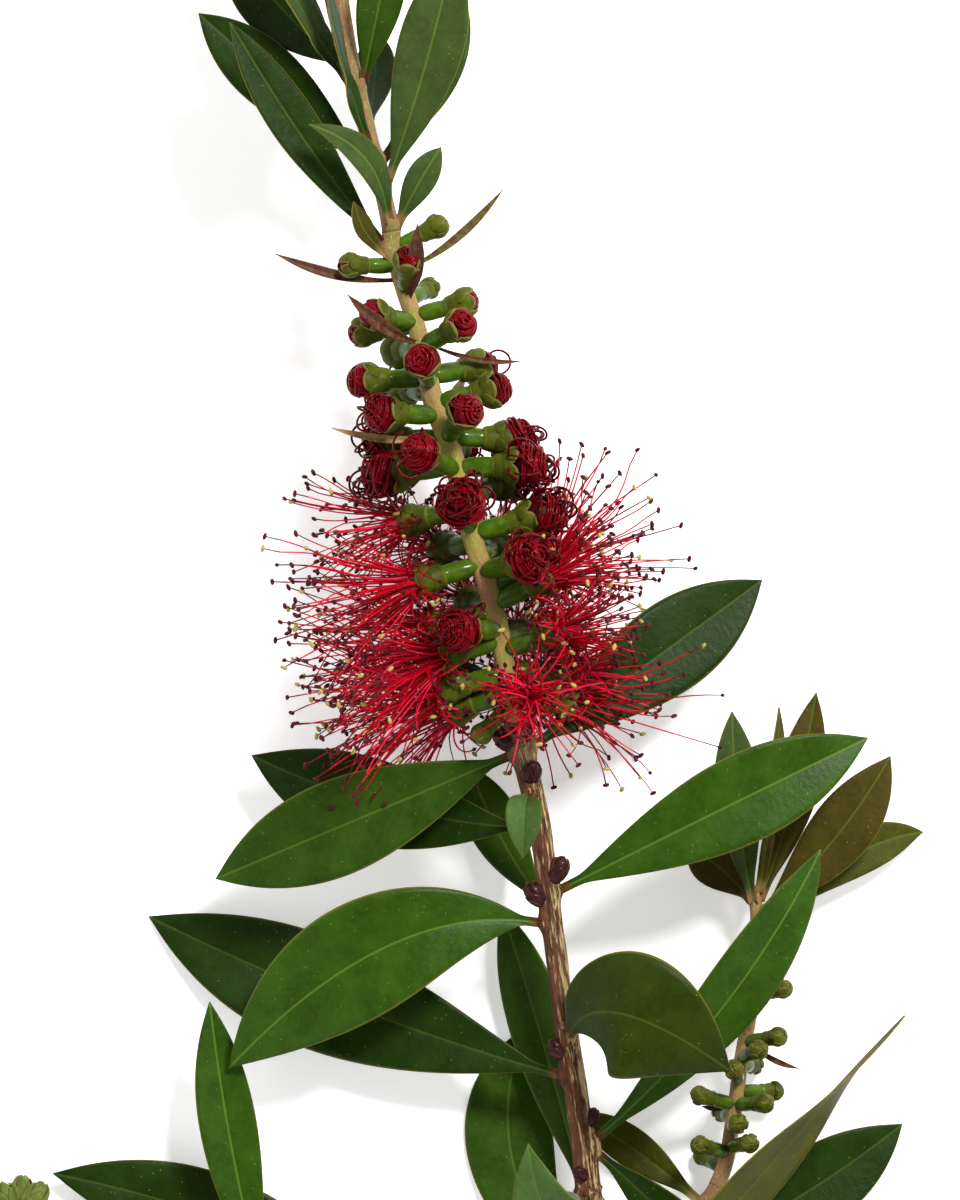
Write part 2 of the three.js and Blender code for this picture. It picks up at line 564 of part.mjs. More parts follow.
add("main_stem", wood, "wood");
add("right_stem", stretch(STEMS.right, startOf(STEMS.right), BUDS_START - CLEAR, 8, 7), "shoot");
add("left_stem", leftShoot(), "shoot");
add("tip_stem", tip, "shoot");
add("bud_spike", budSpike(), "buds");
for (const [name, made] of leaves) add("leaf_" + name, made, YOUNG_LEAVES.includes(name) ? "young" : "leaf");
add("flower_spike", spike([wood, tip, ...leaves.map(([, made]) => made)]), "spike");

export default part;
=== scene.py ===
"""A cut flowering branch of a bottlebrush shrub, lying on a pale surface under a camera above it.

The layout is in millimetres: x to the right, y along the branch to its tip, z up from the surface.
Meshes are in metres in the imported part's frame, whose origin is the layout point ORIGIN.
"""

import functools
import math
import random
from collections import namedtuple

import bmesh
import bpy
import numpy as np
from bpy.props import FloatProperty, FloatVectorProperty, IntProperty, PointerProperty
from mathutils import Matrix, Vector, noise


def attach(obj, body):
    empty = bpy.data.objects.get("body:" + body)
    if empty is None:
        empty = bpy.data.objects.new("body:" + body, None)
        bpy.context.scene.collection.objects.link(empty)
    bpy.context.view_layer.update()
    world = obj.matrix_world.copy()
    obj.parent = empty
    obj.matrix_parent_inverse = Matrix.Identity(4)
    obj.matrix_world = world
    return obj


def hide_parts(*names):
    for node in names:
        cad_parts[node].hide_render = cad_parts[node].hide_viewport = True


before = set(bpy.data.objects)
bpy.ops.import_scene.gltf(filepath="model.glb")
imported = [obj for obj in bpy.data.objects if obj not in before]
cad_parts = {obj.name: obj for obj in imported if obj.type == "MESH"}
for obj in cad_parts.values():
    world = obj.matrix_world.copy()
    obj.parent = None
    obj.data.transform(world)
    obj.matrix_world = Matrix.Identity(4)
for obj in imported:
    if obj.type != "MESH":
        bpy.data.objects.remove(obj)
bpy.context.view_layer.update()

bl_info = {
    "name": "Bottlebrush branch",
    "version": (1, 0, 0),
    "blender": (4, 5, 0),
    "location": "3D View > Sidebar > Bottlebrush",
    "description": "Dresses a cut branch of a bottlebrush shrub around its packed frame",
    "category": "Add Mesh",
}

# ---------------------------------------------------------------- layout

MM = 0.001
ORIGIN = np.array([-12.5, -2.5, 0.0])
BODY = "root"
OPEN = 0.75  # flowers at least this open spread their stamens
HANGING = -20  # flowers that point this far down the stem have shed half of theirs

# Centrelines, as points from the thick end to the tip.
AXIS = [
    (22.0, -126.0, 2.2), (20.6, -119.0, 3.4), (19.0, -109.5, 5.4), (16.5, -90.0, 9.0),
    (15.0, -78.0, 11.4), (12.8, -63.5, 14.2), (10.5, -46.0, 17.2), (8.9, -34.0, 19.4),
    (6.9, -24.9, 21.0), (5.1, -18.0, 22.2), (3.6, -9.0, 23.3), (1.7, 0.0, 24.2),
    (-1.2, 9.5, 24.8), (-3.8, 20.5, 25.0), (-7.4, 31.5, 25.0), (-9.3, 40.0, 25.0),
    (-12.4, 50.0, 25.0), (-14.0, 58.7, 25.0), (-16.3, 68.0, 25.0), (-19.4, 81.0, 24.6),
    (-21.2, 92.0, 23.6), (-22.6, 105.0, 22.0),
]
RIGHT = [
    (18.9, -109.0, 5.5), (25.5, -103.0, 5.6), (31.0, -96.5, 6.2), (36.5, -87.0, 7.4),
    (38.2, -79.0, 8.2), (39.4, -70.0, 8.6), (41.2, -60.0, 8.8), (41.6, -50.0, 8.6),
    (41.7, -44.0, 8.2),
]
LEFT = [
    (20.5, -118.4, 3.5), (6.0, -114.0, 4.4), (-12.0, -109.3, 5.0), (-27.0, -107.6, 5.2),
    (-42.0, -104.8, 5.2), (-57.0, -98.8, 5.2), (-66.6, -92.4, 5.4), (-69.5, -89.4, 5.8),
]
WOOD_END = -18.0  # place on the axis where the wood ends and the spike starts
OVERLAP = 0.1  # how far below that place the two meet
SPIKE_END = 55.0  # place on the axis where the leafy tip starts
BUDS_START = -88.6  # place on the right branch where its buds start

# (place, radius) along each stem; the place is y on the axis and the right branch, x on the left.
AXIS_RADII = [(-126, 2.2), (-90, 1.85), (-45, 1.6), (-24, 1.7), (-18, 1.9), (-16, 1.5),
              (30, 1.55), (50, 1.3), (60, 1.25), (75, 1.3), (92, 1.3), (105, 0.7)]
RIGHT_RADII = [(-109, 1.4), (-90, 1.2), (-66, 1.1), (-50, 0.9), (-44, 0.6)]
LEFT_RADII = [(-69.5, 0.6), (-50, 0.9), (0, 1.2), (20.5, 1.4)]

# Leaves: name, stem, place on it, tip, bow of the midrib's middle off the straight line, width,
# roll of the blade about its midrib near the stem and at its tip and rise of its halves, all in
# degrees, and its tint.
LEAVES = [
    ("main_01", "axis", -22.5, (42.5, 3.0, 13.0), (0.1, -0.05, -0.6), 13.4, 0, 0, 6, "deep"),
    ("main_02", "axis", -22.8, (-39.8, -42.0, 13.0), (0.3, 0.2, 2.5), 14.2, 0, 0, 10, "mid"),
    ("main_03", "axis", -34.0, (-34.5, -23.5, 8.0), (0, -2.4, -1.5), 13.0, 0, 0, 8, "deep"),
    ("main_05", "axis", -46.5, (-1.6, -25.0, 0.6), (-1.0, -0.3, -4.0), 8.0, 0, 0, 0, "mid"),
    ("main_06", "axis", -43.8, (58.2, -20.7, 19.0), (0.5, 0.45, 3.0), 13.2, 0, 0, 10, "bright"),
    ("main_07", "axis", -48.3, (-37.8, -70.5, 12.5), (0.4, 7.6, 5.5), 17.2, 0, 0, 6, "bright"),
    ("main_08", "axis", -71.5, (-50.3, -48.1, 0.4), (0, -1.8, -0.5), 16.8, 0, 0, 8, "deep"),
    ("main_09", "axis", -90.5, (3.2, -46.4, 6.0), (0.5, 0, -1.0), 9.4, -20, -20, 0, "mid"),
    ("main_11", "axis", -81.7, (51.3, -37.5, 14.5), (2.3, -1.6, 3.0), 9.9, 15, 15, 8, "bright"),
    ("main_12", "axis", -83.6, (41.0, -109.0, 0.4), (0.5, 1.0, -1.0), 8.0, 0, 0, 8, "deep"),
    ("main_13", "axis", -107.0, (7.0, -65.0, 0.6), (-6.9, 0, -1.4), 13.2, 0, 0, 0, "mid"),
    ("main_15", "axis", -113.0, (63.8, -62.4, 19.0), (-1.0, 0.6, 5.0), 13.6, 16, 98, 4, "olive"),
    ("main_17", "axis", -92.0, (34.0, -112.0, 0.4), (1.0, 1.0, -1.9), 8.0, 0, 0, 4, "deep"),
    ("right_01", "right", -45.9, (38.0, -16.8, 12.0), (-0.8, 0, 1.0), 7.2, 20, 20, 14, "silky"),
    ("right_02", "right", -44.4, (45.2, -16.2, 9.5), (0.4, 0, 0.6), 4.6, 60, 60, 10, "bronze"),
    ("right_03", "right", -45.4, (51.0, -14.0, 3.0), (0.8, -0.6, -0.8), 6.8, 0, 0, 6, "bronze"),
    ("right_04", "right", -47.2, (62.0, -23.6, 9.0), (0.9, -1.2, 0.8), 9.4, 0, 0, 6, "bronze"),
    ("right_05", "right", -49.5, (67.2, -35.2, 3.5), (0.5, 3.0, -0.8), 6.8, 0, 0, 4, "olive"),
    ("right_06", "right", -45.6, (31.0, -36.6, 4.0), (0.4, 0.4, -0.5), 7.0, 0, 0, 6, "bronze"),
    ("right_07", "right", -99.0, (64.0, -79.4, 4.5), (0.6, -1.2, 0.5), 11.8, 0, 0, 8, "deep"),
    ("right_08", "right", -103.4, (62.0, -104.0, 0.4), (1.0, 1.0, -0.5), 8.4, 0, 0, 6, "mid"),
    ("right_09", "right", -91.6, (14.4, -77.6, 4.6), (0.4, 0.4, -2.3), 6.0, 0, 0, 6, "olive"),
    ("left_01", "left", -32.5, (-40.8, -60.6, 11.0), (-0.85, 0, 1.5), 8.7, 10, 10, 8, "bright"),
    ("left_02", "left", -12.0, (-64.8, -87.0, 3.0), (2.5, 2.2, -0.8), 13.2, 0, 0, 4, "deep"),
    ("left_03", "left", 4.0, (-30.0, -122.0, 0.4), (0, -1.5, -0.5), 10.0, 0, 0, 8, "deep"),
    ("left_04", "left", -46.0, (-80.0, -113.0, 1.0), (0, -2.0, 0), 9.0, 0, 0, 8, "mid"),
    ("left_05", "left", -22.0, (-52.0, -124.0, 0.4), (0.5, -2.5, 0.5), 9.5, 0, 0, 8, "mid"),
    ("left_06", "left", -59.0, (-92.0, -90.5, 2.0), (0, -1.5, 0.5), 8.0, 0, 0, 8, "mid"),
    ("foot_01", "axis", -118.0, (62.0, -118.5, 0.6), (1.0, 2.0, 0.5), 11.0, 0, 0, 8, "deep"),
    ("tip_01", "axis", 53.0, (-37.2, 86.0, 31.0), (-0.8, -0.4, 0), 7.2, 15, 15, 10, "deep"),
    ("tip_02", "axis", 65.5, (-42.2, 88.0, 20.0), (-0.3, 0.2, -0.5), 9.4, 0, 0, 6, "deep"),
    ("tip_03", "axis", 80.0, (-38.5, 100.0, 16.0), (0, -1.5, -1.0), 10.5, 0, 0, 6, "deep"),
    ("tip_04", "axis", 78.0, (-34.5, 101.5, 29.0), (0, -0.8, 0.5), 7.6, 50, 70, 10, "silky"),
    ("tip_05", "axis", 68.0, (-24.2, 98.0, 32.0), (-0.9, 0, 0.4), 6.6, 76, 80, 8, "deep"),
    ("tip_06", "axis", 77.0, (-12.9, 99.0, 29.0), (0, 0, 1.0), 6.8, 0, 0, 12, "mid"),
    ("tip_07", "axis", 62.4, (-3.9, 96.8, 31.0), (0.7, 0, 1.0), 9.8, 0, 0, 10, "silky"),
    ("tip_08", "axis", 65.5, (-3.3, 93.0, 21.0), (1.6, -1.0, -1.0), 8.2, 0, 0, 8, "mid"),
    ("tip_09", "axis", 55.8, (-5.8, 67.6, 27.0), (-0.2, 0.2, 1.0), 4.6, 0, 0, 12, "silky"),
    ("tip_11", "axis", 51.8, (-18.8, 59.4, 29.0), (-0.9, -0.6, 0.6), 3.4, 30, 40, 14, "bronze"),
    ("tip_13", "axis", 71.0, (-15.8, 86.0, 11.0), (0.4, 0, -2.0), 6.0, 0, 0, 6, "deep"),
    ("tip_15", "axis", 90.0, (-36.0, 113.0, 20.0), (0, -1.0, 0), 7.0, 0, 0, 8, "mid"),
    ("tip_16", "axis", 93.5, (-9.5, 115.0, 23.0), (0.5, -1.0, 0.5), 7.0, 0, 0, 8, "mid"),
    ("tip_17", "axis", 97.5, (-28.5, 119.0, 31.0), (0, 0, 1.0), 5.6, 40, 40, 8, "silky"),
    ("tip_18", "axis", 100.0, (-18.0, 121.5, 15.0), (0.5, 0, -1.0), 5.6, 0, 0, 8, "silky"),
]

# Leaves that turn towards the eye: their midrib has two more points and their blade faces the
# stated way. Name, stem, place, (near, far), tip, facing, width, rise, tint.
TURNED_LEAVES = [
    ("main_04", "axis", -28.6, ((6.5, -30.8, 27.0), (6.6, -30.4, 31.4)), (6.4, -38.6, 25.6),
     (-0.01, 0.38, 0.93), 5.4, 26, "pale"),
    ("main_10", "axis", -65.2, ((15.0, -60.2, 25.1), (21.6, -58.8, 32.1)), (37.5, -70.5, 24.3),
     (-0.19, 0.01, 0.98), 19.0, -3, "moss"),
    ("main_14", "axis", -89.2, ((13.5, -94.3, 15.9), (9.1, -96.2, 22.7)), (7.2, -81.3, 25.2),
     (-0.1, -0.06, 0.99), 10.0, 13, "pale"),
    ("tip_10", "axis", 56.6, ((-14.6, 62.0, 31.0), (-15.6, 67.4, 34.5)), (-25.4, 70.6, 35.5),
     (0.2, 0.3, 0.9), 4.8, 14, "silky"),
]

# Flowers up the spike: place on the axis, turn about it with 0 facing up and 90 to the right,
# lift off square, openness from 0, a green bud, to 1.
FLOWERS = [
    (52.4, 92, 18, 0.12), (49.9, -72, 14, 0.12), (46.3, 16, 29, 0.24), (44.7, 148, 8, 0.05),
    (42.4, 92, -3, 0.25), (41.4, -44, 20, 0.3), (40.9, -90, 10, 0.25), (37.8, 49, 12, 0.35),
    (37.4, -155, 5, 0.35), (33.5, 121, -2, 0.45), (32.3, -1, 22, 0.38), (33.3, -89, 9, 0.45),
    (31.0, -155, 12, 0.5), (29.4, 89, -5, 0.42), (27.6, -59, 18, 0.5), (24.6, 107, -22, 0.64),
    (24.1, 27, 19, 0.42), (24.1, -114, 17, 0.6), (21.8, 178, 5, 0.7), (19.8, 83, -13, 0.66),
    (19.4, -31, 23, 0.52), (20.2, -90, 6, 0.66), (15.6, 138, 5, 0.7), (13.6, -112, 0, 0.9),
    (10.8, -2, 22, 0.7), (9.9, 90, 0, 0.72), (8.3, -150, 4, 0.9), (6.8, 160, 0, 0.95),
    (5.3, -84, 2, 1), (4.2, 39, 2, 0.74), (1.5, 122, 5, 1), (-0.5, -160, 0, 1),
    (-0.8, 84, 14, 0.84), (-2.0, -104, -2, 1), (-4.4, -34, 10, 0.6), (-6.0, -74, -3, 1),
    (-6.8, 160, 0, 1), (-7.5, 72, 8, 0.78), (-10.5, 108, -14, 0.82), (-11.2, -90, -3, 1),
    (-12.2, -142, 0, 1), (-13.2, 18, -4, 0.78), (-12.7, 104, -25, 1), (-13.8, -112, -12, 1),
    (-15.0, 165, -4, 1), (-15.6, -52, -26, 0.05),
]

# Narrow bracts in the spike: place, turn, lift, length, width, tint.
BRACTS = [
    (48.9, 84, 17, 18, 1.3, "olive"), (47.8, -84, 23, 17, 1.5, "red"),
    (44.8, 22, 32, 14, 2.5, "red"), (38.2, -35, 25, 15.8, 2.0, "red"),
    (38.8, 96, -30, 15, 0.9, "red"), (35.0, -140, -20, 9, 1.6, "olive"),
    (24.6, -86, 17, 15, 1.2, "tan"), (29.0, 150, 10, 10, 1.5, "tan"),
]

# Thin bracts among the closed buds: place on the right branch, turn, lift, length.
BUD_BRACTS = [(-66.4, 78, -22, 8.5), (-75.4, 84, -18, 4.5), (-76.4, -88, -14, 4)]
BUD_BRACT_WIDTH = 0.9

# Closed buds up the right branch: place on it, turn, lift.
GREEN_BUDS = [
    (-57.8, 150, 10), (-59.9, 43, 16), (-62.5, -150, 8), (-66.9, 48, 19), (-69.3, 20, 19),
    (-70.4, 160, 0), (-72.5, -10, 17), (-74.3, 120, 4), (-76.3, 41, 11), (-76.3, -59, 9),
    (-78.4, -165, 0), (-79.7, 6, 13), (-82.7, 26, 17), (-83.6, -43, 9), (-86.0, -150, 0),
]

# Brown scaly buds on the wood, one above each petiole: place, turn, size.
AXIL_BUDS = [
    (-22.4, -84, 1.05), (-21.6, 88, 0.75), (-27.6, 22, 0.95), (-42.8, 78, 1.1), (-45.9, -78, 1.05),
    (-63.8, 50, 0.8), (-69.2, -72, 0.9), (-80.2, 82, 0.8), (-88.2, -30, 0.75), (-105.6, -150, 0.9),
]
AXIL_LIFT = 50  # their lift off square

# Scales of the leaf bud that ends the left shoot: offset from its end, turn from upright.
END_SCALES = [((0, -1.6, 0), 4), ((-1.7, -2.4, 0.4), -22), ((1.6, -2.2, 0.6), 30)]

# A flower's cup as (radius, height above the axis) of a full-grown one, foot to mouth.
CUP_PROFILE = [(0, -0.9), (1.2, -0.9), (1.3, 0.0), (1.46, 0.5), (1.54, 1.6), (1.52, 3.2),
               (1.44, 3.9), (1.56, 4.15), (1.8, 4.4), (1.9, 4.8), (2.0, 5.3), (2.16, 5.9),
               (2.26, 6.5), (2.28, 6.9), (2.1, 7.0), (1.9, 6.6), (1.2, 6.0), (0, 5.8)]
TUBE_TOP = 4.05  # height in that profile where the tube meets its calyx
RING_TOP = 4.6  # and where the ring under the calyx ends
CUP_MOUTH = 7.2  # height from which the stamens rise
SMALLEST_BALL = 1.0  # radius of the coiled stamens in a green bud
LARGEST_BALL = 3.5  # and in a flower that is about to open


def paint(*picked):
    """A linear colour from the red, green and blue of a colour picker, each from 0 to 255."""
    return tuple(((c / 255 + 0.055) / 1.055) ** 2.4 if c > 10 else c / 3295 for c in picked)


# ---------------------------------------------------------------- settings


class BranchSizes(bpy.types.PropertyGroup):
    """Sizes of the branch's fine parts."""

    leaf_thickness: FloatProperty(
        name="Leaf thickness", description="Thickness of a blade between its veins",
        default=0.00042, min=0.0001, unit="LENGTH")
    petiole_width: FloatProperty(
        name="Petiole width", description="Width of a leaf's stalk", default=0.0013, unit="LENGTH")
    filament_length: FloatProperty(
        name="Filament length", description="Length of an open flower's filaments",
        default=0.025, unit="LENGTH")
    filament_width: FloatProperty(
        name="Filament width", description="Width of a filament at its foot",
        default=0.00037, unit="LENGTH")
    coil_width: FloatProperty(
        name="Coil width", description="Width of the filaments still coiled in a flower",
        default=0.00039, unit="LENGTH")
    anther_length: FloatProperty(
        name="Anther length", description="Length of the anther across a filament's tip",
        default=0.00118, unit="LENGTH")
    filaments: IntProperty(
        name="Filaments", description="Number of spread filaments of an open flower",
        default=60, min=6)
    curls: IntProperty(
        name="Curls", description="Number of filaments still curled beside an open flower",
        default=30, min=0)
    coils: IntProperty(
        name="Coils", description="Number of coiled filaments that show in a closed flower",
        default=54, min=6)


class BranchColours(bpy.types.PropertyGroup):
    """Base colours of the branch."""

    bark: FloatVectorProperty(name="Bark", description="Dark of the bark", subtype="COLOR",
                              default=paint(74, 42, 27))
    bark_streak: FloatVectorProperty(name="Bark streak", description="Pale strips of the bark",
                                     subtype="COLOR", default=paint(186, 160, 112))
    shoot: FloatVectorProperty(name="Shoot", description="Green side of a young stem",
                               subtype="COLOR", default=paint(128, 122, 50))
    blush: FloatVectorProperty(name="Blush", description="Pink side of a young stem",
                               subtype="COLOR", default=paint(130, 96, 62))
    leaf: FloatVectorProperty(name="Leaf", description="Upper face of a full-grown leaf",
                              subtype="COLOR", default=paint(37, 61, 5))
    underside: FloatVectorProperty(name="Underside", description="Lower face of a leaf",
                                   subtype="COLOR", default=paint(66, 82, 34))
    rib: FloatVectorProperty(name="Rib", description="Midrib of a leaf", subtype="COLOR",
                             default=paint(86, 112, 34))
    cup: FloatVectorProperty(name="Cup", description="Green tube of a flower", subtype="COLOR",
                             default=paint(60, 84, 10))
    petal: FloatVectorProperty(name="Petal", description="Rounded petals and calyx lobes",
                               subtype="COLOR", default=paint(66, 72, 12))
    stamen: FloatVectorProperty(name="Stamen", description="Red of the filaments",
                                subtype="COLOR", default=paint(170, 3, 25))
    anther: FloatVectorProperty(name="Anther", description="Dark anthers", subtype="COLOR",
                                default=paint(72, 17, 24))
    pollen: FloatVectorProperty(name="Pollen", description="Anthers that shed pollen",
                                subtype="COLOR", default=paint(160, 144, 76))


class StageSettings(bpy.types.PropertyGroup):
    """The surface, the light and the camera."""

    floor: FloatVectorProperty(name="Surface", description="Colour of the surface",
                               subtype="COLOR", default=(0.94, 0.94, 0.94))
    glow: FloatProperty(name="Glow", description="Light that the surface gives off", default=0.34,
                        min=0)
    dome: FloatProperty(name="Dome", description="Strength of the light from all round",
                        default=1.3, min=0)
    zenith: FloatProperty(name="Zenith", description="Strength of that light from overhead",
                          default=0.12, min=0)
    key: FloatProperty(name="Key", description="Power of the lamp", default=21, min=0,
                       unit="POWER")
    lens: FloatProperty(name="Lens", description="Focal length", default=300, min=50,
                        unit="CAMERA")


def sizes():
    return bpy.context.scene.branch_sizes


def colours():
    return bpy.context.scene.branch_colours


# ---------------------------------------------------------------- vectors and curves

UP = np.array([0.0, 0.0, 1.0])
ASKEW = np.array([0.31, 0.52, 0.79])  # a direction that no stem or filament runs in


def unit(v):
    """Each vector of v at length 1."""
    return v / np.linalg.norm(v, axis=-1, keepdims=True)


def square_to(v, along):
    """The part of v that is square to along, as a unit vector."""
    return unit(v - (v * along).sum(-1, keepdims=True) * along)


def across(out):
    """Two unit vectors that are right-handed with out."""
    second = square_to(ASKEW, out)
    return np.cross(second, out), second


def smooth(low, high, x):
    """0 below low, 1 above high and a smooth step between."""
    t = np.clip((x - low) / (high - low), 0, 1)
    return t * t * (3 - 2 * t)


def bezier(points, t):
    """Points of the Bezier curve with these control points at the shares t."""
    level = [np.asarray(p, float) for p in points]
    share = np.asarray(t)[..., None]
    while len(level) > 1:
        level = [a + (b - a) * share for a, b in zip(level, level[1:])]
    return level[0]


def through(points, per_span=40):
    """A centripetal Catmull-Rom curve through the points, as close samples."""
    p = np.asarray(points, float)
    p = np.vstack([2 * p[0] - p[1], p, 2 * p[-1] - p[-2]])
    rows = []
    for p0, p1, p2, p3 in zip(p, p[1:], p[2:], p[3:]):
        d0, d1, d2 = (math.sqrt(math.dist(a, b)) for a, b in ((p0, p1), (p1, p2), (p2, p3)))
        m1 = ((p1 - p0) / d0 - (p2 - p0) / (d0 + d1) + (p2 - p1) / d1) * d1
        m2 = ((p2 - p1) / d1 - (p3 - p1) / (d1 + d2) + (p3 - p2) / d2) * d1
        t = np.arange(per_span)[:, None] / per_span
        rows.append(p1 + m1 * t + (3 * (p2 - p1) - 2 * m1 - m2) * t**2
                    + (2 * (p1 - p2) + m1 + m2) * t**3)
    return np.vstack([*rows, p[-2:-1]])


Seat = namedtuple("Seat", "point along up out radius")


class Stem:
    """A centreline whose places are read on one coordinate, with its radii."""

    def __init__(self, points, coordinate, radii):
        line = through(points)
        order = np.argsort(line[:, coordinate])
        self.places = line[order, coordinate]
        self.line = line[order]
        self.along = unit(np.gradient(line, axis=0))[order]
        self.radii = np.array(sorted(radii), float)

    def pick(self, rows, place):
        return np.stack([np.interp(place, self.places, rows[:, k]) for k in range(3)], -1)

    def radius(self, place):
        return np.interp(place, self.radii[:, 0], self.radii[:, 1])

    def seat(self, place, turn=0.0, lift=0.0):
        """The point and direction at a place, and the unit vector at a turn and lift there."""
        along = unit(self.pick(self.along, place))
        up = square_to(UP, along)
        right = np.cross(along, up)
        turn, lift = np.radians(turn), np.radians(lift)
        around = up * np.cos(turn) + right * np.sin(turn)
        out = around * np.cos(lift) + along * np.sin(lift)
        return Seat(self.pick(self.line, place), along, up, out, self.radius(place))


STEMS = {
    "axis": Stem(AXIS, 1, AXIS_RADII),
    "right": Stem(RIGHT, 1, RIGHT_RADII),
    "left": Stem(LEFT, 0, LEFT_RADII),
}

# ---------------------------------------------------------------- forms and pieces

# A closed form to be laid out many times: its points, its faces' corners in one row, the number
# of corners of each face, and each face's middle.
Form = namedtuple("Form", "points corners counts middles")


def form_of(bm):
    """The closed mesh in bm as a form."""
    bmesh.ops.recalc_face_normals(bm, faces=bm.faces)
    bm.verts.index_update()
    form = Form(
        np.array([v.co for v in bm.verts]),
        np.array([v.index for f in bm.faces for v in f.verts]),
        np.array([len(f.verts) for f in bm.faces]),
        np.array([f.calc_center_median() for f in bm.faces]),
    )
    bm.free()
    return form


@functools.cache
def slab(columns, rows):
    """A square slab: x and y run from -1 to 1 and z from -0.5 to 0.5."""
    bm = bmesh.new()
    bmesh.ops.create_grid(bm, x_segments=columns, y_segments=rows, size=1)
    bmesh.ops.solidify(bm, geom=bm.faces[:], thickness=1)
    bmesh.ops.translate(bm, verts=bm.verts, vec=(0, 0, 0.5))
    return form_of(bm)


@functools.cache
def rod(sides, steps):
    """A rod of radius 1 from z = 0 to 1, with rings at even steps."""
    bm = bmesh.new()
    bmesh.ops.create_cone(bm, cap_ends=True, segments=sides, radius1=1, radius2=1, depth=1,
                          matrix=Matrix.Translation((0, 0, 0.5)))
    for i in range(1, steps):
        bmesh.ops.bisect_plane(bm, geom=bm.verts[:] + bm.edges[:] + bm.faces[:],
                               plane_co=(0, 0, i / steps), plane_no=(0, 0, 1))
    return form_of(bm)


@functools.cache
def rolled(sides, steps):
    """A rod like the last, rolled from a grid, for stems with many rings."""
    bm = bmesh.new()
    bmesh.ops.create_grid(bm, x_segments=sides, y_segments=steps, size=1)
    for v in bm.verts:
        angle = math.pi * v.co.x
        v.co = (math.cos(angle), math.sin(angle), (v.co.y + 1) / 2)
    bmesh.ops.remove_doubles(bm, verts=bm.verts, dist=1e-5)
    bmesh.ops.holes_fill(bm, edges=[e for e in bm.edges if e.is_boundary], sides=0)
    return form_of(bm)


@functools.cache
def ball(around, rings):
    """A sphere of radius 1."""
    bm = bmesh.new()
    bmesh.ops.create_uvsphere(bm, u_segments=around, v_segments=rings, radius=1)
    return form_of(bm)


@functools.cache
def turned_cup(sides):
    """A full-grown flower's cup, spun from its profile."""
    bm = bmesh.new()
    verts = [bm.verts.new((r, 0, h)) for r, h in CUP_PROFILE]
    edges = [bm.edges.new(pair) for pair in zip(verts, verts[1:])]
    bmesh.ops.spin(bm, geom=verts + edges, axis=(0, 0, 1), cent=(0, 0, 0), angle=math.tau,
                   steps=sides, use_merge=True)
    bmesh.ops.remove_doubles(bm, verts=bm.verts, dist=1e-4)
    return form_of(bm)


class Heap:
    """Closed forms that together become one piece."""

    def __init__(self, mark=None):
        self.mark = mark
        self.rows = []
        self.size = 0

    def add(self, form, points, slot=0, marks=None):
        """Adds the form once for each set of its points, in one slot or a slot for each face."""
        points = np.asarray(points).reshape(-1, len(form.points), 3)
        copies = len(points)
        starts = self.size + np.arange(copies)[:, None] * len(form.points)
        slots = np.broadcast_to(slot, (copies, len(form.counts)))
        marks = np.zeros((copies * len(form.points), 3)) if marks is None else marks
        self.rows.append((points.reshape(-1, 3), (starts + form.corners).ravel(),
                          np.tile(form.counts, copies), slots.ravel(), marks.reshape(-1, 3)))
        self.size += copies * len(form.points)

    def piece(self, name, materials, slot, replaced=()):
        """Makes the heap one object that rides on the branch."""
        points, corners, counts, slots, marks = (np.concatenate(r) for r in zip(*self.rows))
        mesh = bpy.data.meshes.new(name)
        mesh.vertices.add(len(points))
        mesh.loops.add(len(corners))
        mesh.polygons.add(len(counts))
        mesh.vertices.foreach_set("co", ((points - ORIGIN) * MM).ravel())
        mesh.loops.foreach_set("vertex_index", corners)
        mesh.polygons.foreach_set("loop_start", np.cumsum(counts) - counts)
        mesh.polygons.foreach_set("material_index", slots)
        mesh.polygons.foreach_set("use_smooth", np.ones(len(counts), bool))
        if self.mark:
            attribute = mesh.attributes.new(self.mark, "FLOAT_VECTOR", "POINT")
            attribute.data.foreach_set("vector", marks.ravel())
        mesh.update(calc_edges=True)
        if mesh.validate():
            raise RuntimeError(f"{name} has faces that Blender had to mend")
        for material in materials:
            mesh.materials.append(material)
        obj = bpy.data.objects.new(name, mesh)
        bpy.context.scene.collection.objects.link(obj)
        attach(obj, BODY)
        if replaced:
            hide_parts(*replaced)
        return obj


def sweep(form, paths, radii):
    """A rod form bent along each path [thread, ring, xyz], with radii [thread, ring]."""
    along = unit(np.gradient(paths, axis=1))
    sides = [square_to(ASKEW, along[:, 0])]
    for ring in range(1, paths.shape[1]):
        sides.append(square_to(sides[-1], along[:, ring]))
    second = np.stack(sides, 1)
    first = np.cross(second, along)
    ring = np.rint(form.points[:, 2] * (paths.shape[1] - 1)).astype(int)
    x, y = form.points[:, 0, None], form.points[:, 1, None]
    return paths[:, ring] + radii[:, ring, None] * (first[:, ring] * x + second[:, ring] * y)


def ripple(vectors):
    """Smooth noise from -1 to 1 at each vector."""
    return np.array([noise.noise(Vector(v)) for v in vectors])


# ---------------------------------------------------------------- material helpers


def put(tree, kind, inputs=None, **settings):
    """A new node with its settings, and its inputs given as values or as sockets to link."""
    node = tree.nodes.new(kind)
    for name, value in settings.items():
        setattr(node, name, value)
    for name, value in (inputs or {}).items():
        if isinstance(value, bpy.types.NodeSocket):
            tree.links.new(value, node.inputs[name])
        else:
            node.inputs[name].default_value = value
    return node


def sums(tree, operation, a, b=0.0, c=0.0):
    """The result of a Math node."""
    node = put(tree, "ShaderNodeMath", {0: a, 1: b, 2: c}, operation=operation)
    return node.outputs[0]


def step(tree, value, low, high):
    """A smooth step of value from 0 at low to 1 at high."""
    node = put(tree, "ShaderNodeMapRange", {"Value": value, "From Min": low, "From Max": high},
               interpolation_type="SMOOTHSTEP")
    return node.outputs["Result"]


